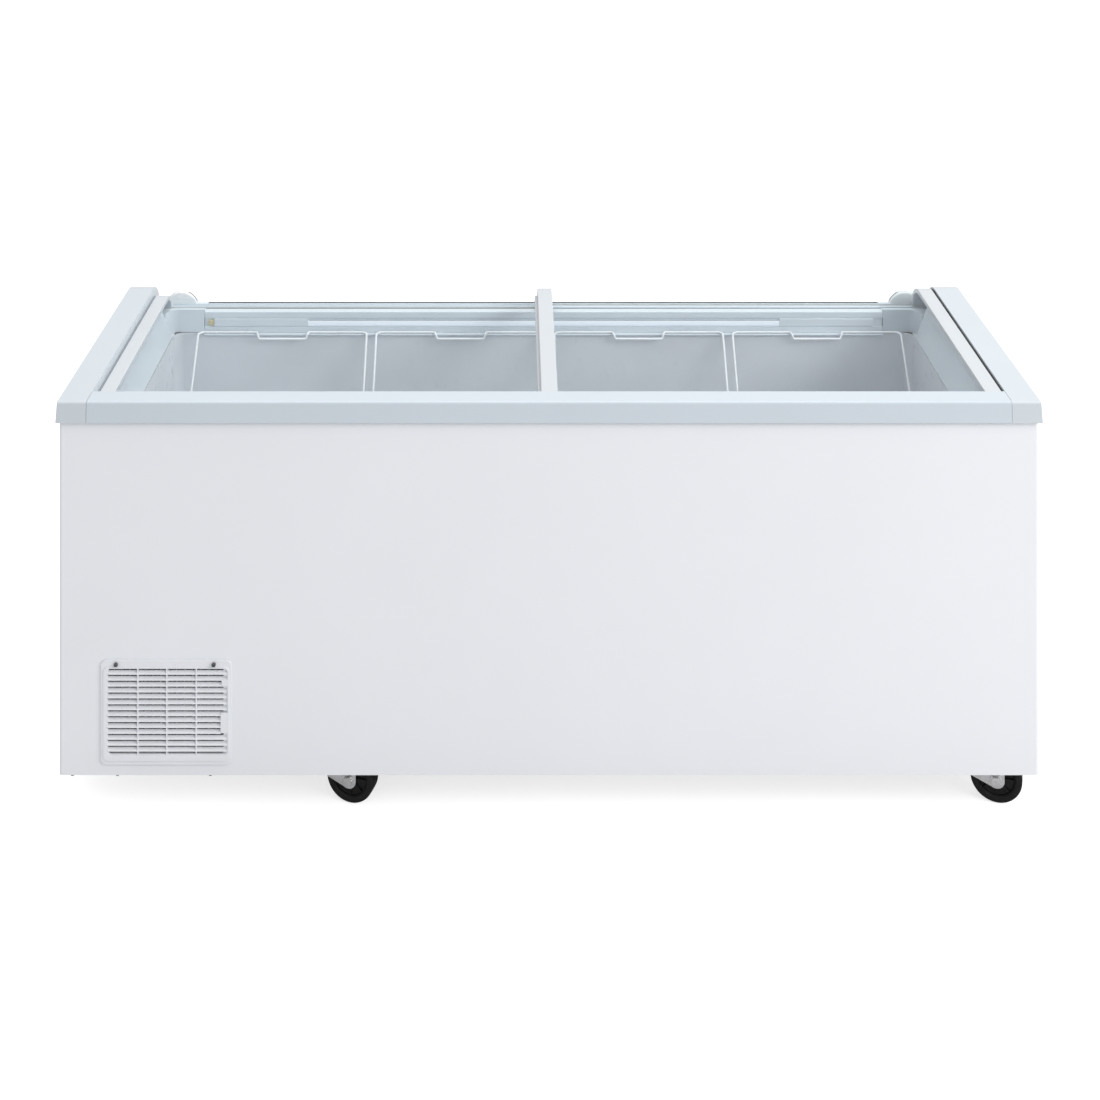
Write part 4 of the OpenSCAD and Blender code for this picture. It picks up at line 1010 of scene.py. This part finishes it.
# ------------------------------------------------------------------ baskets
def basket(i):
    src = "basket_%d" % i
    (ax, ay, az), (bx, by, bz) = nb(src)
    cx = (ax + bx) / 2
    r = 2.5
    w = (bx - ax) / 2 - r
    z = 686.8
    yr, yf = 254.0, -257.0
    q = 94.0
    zm = z - 102
    zb = az + 2.2
    items = []
    for y0, y1, k, e in ((yr, yr - q, 244.9, 1), (yf, yf + q, -247.9, -1)):
        pts = [(cx - w, y1, zm), (cx - w, k, z), (cx - w + 9, y0, z), (cx - 58, y0, z), (cx - 56, k, z), (cx - 52, k - e * 2.3, z - 10.5),
               (cx + 52, k - e * 2.3, z - 10.5), (cx + 56, k, z), (cx + 58, y0, z), (cx + w - 9, y0, z), (cx + w, k, z), (cx + w, y1, zm)]
        items.append((round_path(pts, [0, 7, 9, 4, 4, 4, 4, 4, 4, 9, 7, 0], 6), r, False, 14))
    top = [(cx - w, yf + q, zm), (cx + w, yf + q, zm), (cx + w, yr - q, zm), (cx - w, yr - q, zm)]
    items.append((round_path(top, 14, 6, True), 2.5, True, 12))
    lo_in = 12.0
    low = [(cx - w + lo_in, yf + q + 10, zb), (cx + w - lo_in, yf + q + 10, zb), (cx + w - lo_in, yr - q - 10, zb), (cx - w + lo_in, yr - q - 10, zb)]
    items.append((round_path(low, 14, 6, True), 2.0, True, 10))
    for f in (0.3, 0.62):
        zz = zm + (zb - zm) * f
        d1, d2 = lo_in * f - 1.6, 10 * f - 1.6
        ring = [(cx - w + d1, yf + q + d2, zz), (cx + w - d1, yf + q + d2, zz), (cx + w - d1, yr - q - d2, zz), (cx - w + d1, yr - q - d2, zz)]
        items.append((round_path(ring, 14, 5, True), 1.3, True, 8))
    # U wires front to rear under the floor, and side to side over them
    nx, ny = 15, 12
    for k in range(nx):
        u = -1 + 2 * (k + 0.5) / nx
        xt, xb = cx + u * (w - 10), cx + u * (w - lo_in - 8)
        pts = [(xt, yf + q + 3.2, zm + 1.5), (xb, yf + q + 12.5, zb + 3.0), (xb, yr - q - 12.5, zb + 3.0), (xt, yr - q - 3.2, zm + 1.5)]
        items.append((round_path(pts, 8, 4), 1.3, False, 8))
    for k in range(ny):
        u = -1 + 2 * (k + 0.5) / ny
        hl = (yr - q - yf - q) / 2
        cy = (yr + yf) / 2
        yt, yb = cy + u * (hl - 10), cy + u * (hl - 18)
        pts = [(cx - w + 3.2, yt, zm + 1.5), (cx - w + lo_in + 2.5, yb, zb + 5.4), (cx + w - lo_in - 2.5, yb, zb + 5.4), (cx + w - 3.2, yt, zm + 1.5)]
        items.append((round_path(pts, 8, 4), 1.3, False, 8))
    o = tubes("basket_wires_%d" % i, items, "wire", "basket_%d_body" % i)
    stand_for(o, src)
    slot_of(src)


for i in (1, 2, 3, 4):
    basket(i)


# ------------------------------------------------------------------ front grille
def grille():
    parts = []
    y0, y1 = gy0, sy0 - 0.1
    W0, W1, Z0, Z1 = gx0, gx1, gz0, gz1
    n = 8
    open_ = rrect(W0 + 14, Z0 + 21, W1 - 9.5, Z1 - 15.6, 8, n)
    base = rrect(W0, Z0, W1, Z1, 12, n)
    parts.append(sweep("g_base", base, sy0 - 3.3, sy0 - 0.1, "y", "white_plastic", hole=open_, edge=1.3))
    lip_o = rrect(W0 + 5, Z0 + 8, W1 - 4, Z1 - 13, 10, n)
    lip_i = rrect(W0 + 12.6, Z0 + 19.6, W1 - 8, Z1 - 14.2, 8.5, n)
    parts.append(sweep("g_lip", lip_o, sy0 - 5, sy0 - 2.9, "y", "white_plastic", hole=lip_i, edge=0.9))
    op2 = rrect(W0 + 12.6, Z0 + 19.6, W1 - 8, Z1 - 14.2, 8.5, n)
    # sloping slats
    for i in range(16):
        z = 118.9 + i * 11.12
        if z < Z0 + 14 or z > Z1 - 14:
            continue
        p = fillet2([(sy0 - 4.8, z), (sy0 - 4.8, z + 1.6), (sy0 + 1.0, z + 6.0), (sy0 + 2.0, z + 6.0), (sy0 + 2.0, z + 4.0)],
                    [0.6, 0.8, 0.8, 0.4, 0.8], 3)
        inset = 3.0 if i in (0, 15) else 0.0
        xa, xb = W0 + 13.4 + inset, W1 - 8.8 - inset
        if 163 < z + 2 < 203:
            xb = -617
        parts.append(sweep("g_slat%d" % i, p, xa, xb, "x", "white_plastic", edge=0.3))
    for x in (-773.6, -719.2, -663.8):
        p = fillet2([(x - 1.2, sy0 - 4.3), (x + 1.2, sy0 - 4.3), (x + 1.2, sy0 + 4), (x - 1.2, sy0 + 4)], 0.5, 3)
        parts.append(sweep("g_rib", p, Z0 + 20.5, Z1 - 15.2, "z", "white_plastic", edge=0.3))
    # latch tab and small hook on the right
    p = rrect(-618, 165, -604.5, 203, 1.5, 4)
    parts.append(sweep("g_tab", p, sy0 - 4.9, sy0 + 3, "y", "white_plastic", edge=0.7))
    p = rrect(-616, 254, -604.5, 266, 1.2, 4)
    parts.append(sweep("g_hook", p, sy0 - 4.9, sy0 + 3, "y", "white_plastic", edge=0.7))
    o = join("front_grille_moulding", parts)
    shade(o, True, 34)
    stand_for(o, "front_grille")
    slot_of("front_grille")


grille()


# ------------------------------------------------------------------ castors
def castor(k):
    (fx0, fy0, fz0), (fx1, fy1, fz1) = nb("castor_fork_" + k)
    js = {j["name"]: j for j in frame["joints"]}
    jp = js["castor_swivel_" + k].get("pos_m")
    wp = js["castor_roll_" + k].get("pos_m")
    sx, sy = jp[0] / M, jp[1] / M
    wx, wy, wz = wp[0] / M, wp[1] / M, wp[2] / M
    ang = math.atan2(wy - sy, wx - sx)
    tr = math.hypot(wx - sx, wy - sy)
    rot = Matrix.Rotation(ang, 4, "Z")
    place = Matrix.Translation(Vector((sx, sy, 0)) * M) @ rot
    ax = (rot @ Vector((0, 1, 0)))

    def put(objs, name, body, src, slotn):
        o = join(name, objs, body)
        o.data.transform(place)
        shade(o, True, 34)
        if src:
            stand_for(o, src)
        slot_of(slotn)
        return o
    body = "fork_" + k
    legs = []
    for s in (-1, 1):
        # pressed leg: wide at the top, narrowing to a round end at the axle
        outl = [(-35, 107), (-35, 54)] + arc(tr, 48, 15.5, 238, 360, 18) + [(tr + 15.5, 107)]
        outl = fillet2(outl, [0, 10] + [0] * 19 + [0], 6)
        ya, yb = sorted((s * 19.5, s * 22))
        legs.append(sweep("leg", outl, ya, yb, "y", "zinc", body, edge=0.4))
        # pressed stiffening bead on the outer face
        bead = [(-8, s * 22.0, 100), (8, s * 22.0, 86), (tr - 4, s * 22.0, 66)]
        legs.append(tubes("bead", [(round_path(bead, 12, 5), 1.6, False, 8)], "zinc", body))
    top = rrect(-35, -22, 40.5, 22, 5, 6)
    legs.append(sweep("crown", top, 105.1, 107.6, "z", "zinc", body, edge=0.6))
    # raceway cup
    legs.append(lathe("race", [(4.3, 107.4), (21, 107.4), (21.6, 108.4), (21.6, 111.5), (20.2, 113.6), (18.5, 114.0), (4.3, 114.0), (4.3, 107.4)], (0, 0, 0), "zinc", body, n=64))
    put(legs, "castor_fork_pressing_" + k, body, "castor_fork_" + k, "castor_fork_" + k)
    # axle bolt with washers, hexagon head and nut on a plain shank; the thread rings are listed but not built
    bolt = []
    for s in (-1, 1):
        y = s * 22.05
        wsh = [(4.2, 0), (11.2, 0), (11.6, 0.4), (11.6, 1.2), (11.2, 1.6), (4.2, 1.6), (4.2, 0)]
        bolt.append(lathe("wash", [(r, y + s * h) for r, h in wsh], (tr, 0, 48), "zinc", body, axis=(0, 1, 0), n=40))
        hexp = [(tr + 9.6 * math.cos(math.radians(60 * q + 10)), 48 + 9.6 * math.sin(math.radians(60 * q + 10))) for q in range(6)]
        hexp = fillet2(hexp, 0.9, 3)
        a, b_ = sorted((y + s * 1.6, y + s * 6.2))
        bolt.append(sweep("hex", hexp, a, b_, "y", "zinc", body, edge=0.7))
    thr = []
    for q in range(14):
        thr += [(3.6, 26.5 - q * 0.18), (4.0, 26.5 - q * 0.18 - 0.09)]
    bolt.append(lathe("shank", [(0, -24), (3.9, -24), (4.9, -24), (4.9, 29.6), (4.9, 33.6), (4.2, 34.6), (0, 34.6)], (tr, 0, 48), "zinc", body, axis=(0, 1, 0), n=32))
    put(bolt, "castor_axle_bolt_" + k, body, None, "castor_fork_" + k)
    # wheel: tread, web with ribs, hub
    wb = "wheel_" + k
    R = 48.0
    tread = [(35.5, -15.2), (37, -16)] + [(R - 5 + 4.9 * math.sin(math.radians(a)), -16 + 5 - 5 * math.cos(math.radians(a))) for a in (0, 15, 30, 45, 60, 75)]
    tread += [(R - 0.15, -7.5), (R, -4), (R, 4), (R - 0.15, 7.5)]
    tread += [(R - 5 + 4.9 * math.sin(math.radians(a)), 16 - 5 + 5 * math.cos(math.radians(a))) for a in (75, 60, 45, 30, 15, 0)]
    tread += [(37, 16), (35.5, 15.2), (34.8, 14.0), (34.8, -14.0), (35.5, -15.2)]
    t = lathe("tread", tread, (tr, 0, 48), "tread", wb, axis=(0, 1, 0), n=96)
    hub = [(4.05, -19), (9.5, -19), (11, -18), (11.8, -13), (13.5, -11.2), (30, -9.6), (32.5, -10.8), (33.6, -14.4), (34.6, -14.8), (34.9, -14), (34.9, 14), (34.6, 14.8),
           (33.6, 14.4), (32.5, 10.8), (30, 9.6), (13.5, 11.2), (11.8, 13), (11, 18), (9.5, 19), (4.05, 19), (4.05, -19)]
    hb = lathe("hub", hub, (tr, 0, 48), "hub", wb, axis=(0, 1, 0), n=72)
    ribs = []
    for q in range(8):
        a = math.radians(45 * q)
        for s in (-1, 1):
            pr = fillet2([(11, -1.1), (33, -1.1), (33, 1.1), (11, 1.1)], 0.5, 2)
            pr = [(tr + x * math.cos(a) - z * math.sin(a), 48 + x * math.sin(a) + z * math.cos(a)) for x, z in pr]
            y0_, y1_ = sorted((s * 8.5, s * 13.2))
            ribs.append(sweep("rib", pr, y0_, y1_, "y", "hub", wb, edge=0.4))
    put([t, hb] + ribs, "castor_wheel_moulding_" + k, wb, "castor_wheel_" + k, "castor_wheel_" + k)


for k in ("fl", "fr", "rl", "rr"):
    castor(k)

# ------------------------------------------------------------------ power cord
cord_pts = [(-646, 120, 170), (-620, 120, 170), (-612, 150, 150), (-620, 270, 130), (-850, 290, 150), (-850, 290, 330), (-850, 317.8, 330), (-850, 317.8, 70)]
cord = tubes("power_cord_jacket", [(round_path(cord_pts, [0, 8, 20, 20, 20, 12, 6, 0], 8), 3.5, False, 14)], "cable")
pl = [soft_box("plug", (-864, 303, 34), (-836, 321.5, 60), 4.5, "cable"),
      lathe("relief", [(0, 58), (6.5, 58), (6.0, 62), (4.8, 63), (5.4, 65), (4.6, 67), (5.0, 69), (4.2, 71), (4.5, 73), (3.6, 76), (0, 76)], (-850, 317.0, 0), "cable", n=32)]
for x in (-857, -843):
    pl.append(lathe("pin", [(0, 15.0), (1.4, 15.0), (2.0, 15.8), (2.0, 36), (0, 36)], (x, 312, 0), "zinc", n=24))
cord = join("power_cord_set", [cord] + pl)
stand_for(cord, "power_cord")
slot_of("power_cord")

# ------------------------------------------------------------------ stage, light, camera
WORLD = (0.60, 0.98, 0.18)
me = bpy.data.meshes.new("floor")
bm = bmesh.new()
S, n = 45.0, 1
bmesh.ops.create_grid(bm, x_segments=2, y_segments=2, size=S)
bm.to_mesh(me)
bm.free()
floor = bpy.data.objects.new("floor", me)
floor.location = (0, 8, -0.0005)
bpy.context.scene.collection.objects.link(floor)
fm, nt, b, out = new_mat("pale_floor")
nt.nodes.remove(b)
# seen by the camera: a near white sweep with a faint contact shadow. Seen by the object: a pale matt floor.
fv = coords(nt)
fn = node(nt, "ShaderNodeTexNoise", Scale=0.8, Detail=3.0)
nt.links.new(fv, fn.inputs["Vector"])
fr_ = node(nt, "ShaderNodeValToRGB")
fr_.color_ramp.elements[0].color = (0.60, 0.60, 0.61, 1)
fr_.color_ramp.elements[1].color = (0.64, 0.64, 0.65, 1)
nt.links.new(fn.outputs["Fac"], fr_.inputs["Fac"])
df = node(nt, "ShaderNodeBsdfDiffuse")
nt.links.new(fr_.outputs["Color"], df.inputs["Color"])
em = node(nt, "ShaderNodeEmission", Strength=0.72)
em.inputs["Color"].default_value = (1, 1, 1, 1)
lp = nt.nodes.new("ShaderNodeLightPath")
mxs = nt.nodes.new("ShaderNodeMixShader")
ad = nt.nodes.new("ShaderNodeAddShader")
nt.links.new(df.outputs[0], ad.inputs[0])
nt.links.new(em.outputs[0], ad.inputs[1])
nt.links.new(lp.outputs["Is Camera Ray"], mxs.inputs[0])
nt.links.new(df.outputs[0], mxs.inputs[1])
nt.links.new(ad.outputs[0], mxs.inputs[2])
nt.links.new(mxs.outputs[0], out.inputs[0])
me.materials.append(fm)

w = bpy.data.worlds.new("studio")
bpy.context.scene.world = w
w.use_nodes = True
wt = w.node_tree
bg = wt.nodes["Background"]
wc = wt.nodes.new("ShaderNodeTexCoord")
wsep = wt.nodes.new("ShaderNodeSeparateXYZ")
wt.links.new(wc.outputs["Generated"], wsep.inputs[0])
wr = wt.nodes.new("ShaderNodeMapRange")
wr.inputs["From Min"].default_value = -0.1
wr.inputs["From Max"].default_value = 0.9
wr.inputs["To Min"].default_value = WORLD[0]
wr.inputs["To Max"].default_value = WORLD[1]
wt.links.new(wsep.outputs["Z"], wr.inputs["Value"])
# a little more light from the right than from the left
wx = wt.nodes.new("ShaderNodeMath")
wx.operation = "MULTIPLY_ADD"
wx.inputs[1].default_value = WORLD[2]
wt.links.new(wsep.outputs["X"], wx.inputs[0])
wt.links.new(wr.outputs["Result"], wx.inputs[2])
bg.inputs[0].default_value = (1.0, 1.0, 1.0, 1)
# the camera itself sees a white sweep above the floor's far edge
wl = wt.nodes.new("ShaderNodeLightPath")
wm = wt.nodes.new("ShaderNodeMath")
wm.operation = "MAXIMUM"
wt.links.new(wx.outputs[0], wm.inputs[0])
wt.links.new(wl.outputs["Is Camera Ray"], wm.inputs[1])
wt.links.new(wm.outputs[0], bg.inputs[1])


def area(name, loc, target, size, size_y, energy):
    d = bpy.data.lights.new(name, "AREA")
    d.shape = "RECTANGLE"
    d.size, d.size_y, d.energy = size, size_y, energy
    o = bpy.data.objects.new(name, d)
    o.location = loc
    d.color = (1.0, 0.982, 0.955)
    o.rotation_mode = "QUATERNION"
    o.rotation_quaternion = (Vector(target) - Vector(loc)).to_track_quat("-Z", "Y")
    bpy.context.scene.collection.objects.link(o)
    return o


area("key", (4.2, -3.0, 3.4), (0.1, 0, 0.6), 2.4, 1.8, 132)
area("top", (0.0, 0.6, 4.6), (0, 0, 0.6), 3.4, 2.2, 48)

cam_d = bpy.data.cameras.new("camera")
cam = bpy.data.objects.new("camera", cam_d)
bpy.context.scene.collection.objects.link(cam)
cam.location = (-0.064, -3.320, 2.144)
cam.rotation_euler = (math.radians(90), 0, 0)
cam_d.sensor_width = 36.0
cam_d.lens = 1597.0 / 1100.0 * 36.0
cam_d.clip_start, cam_d.clip_end = 0.05, 200
bpy.context.scene.camera = cam
# The lens shift belongs to this one camera place. Any other place looks straight at the object with no shift.
for prop, val in (("shift_x", 0.0318), ("shift_y", -0.790)):
    fc = cam_d.driver_add(prop)
    dv = fc.driver
    dv.type = "SCRIPTED"
    var = dv.variables.new()
    var.name = "y"
    var.type = "TRANSFORMS"
    var.targets[0].id = cam
    var.targets[0].transform_type = "LOC_Y"
    var.targets[0].transform_space = "WORLD_SPACE"
    var2 = dv.variables.new()
    var2.name = "z"
    var2.type = "TRANSFORMS"
    var2.targets[0].id = cam
    var2.targets[0].transform_type = "LOC_Z"
    var2.targets[0].transform_space = "WORLD_SPACE"
    dv.expression = "%g if abs(y + 3.320) < 0.001 and abs(z - 2.144) < 0.001 else 0" % val

sc = bpy.context.scene
sc.view_settings.view_transform = "Standard"
sc.view_settings.look = "None"
sc.view_settings.exposure = 0.0
sc.view_settings.gamma = 1.0

bpy.context.view_layer.update()
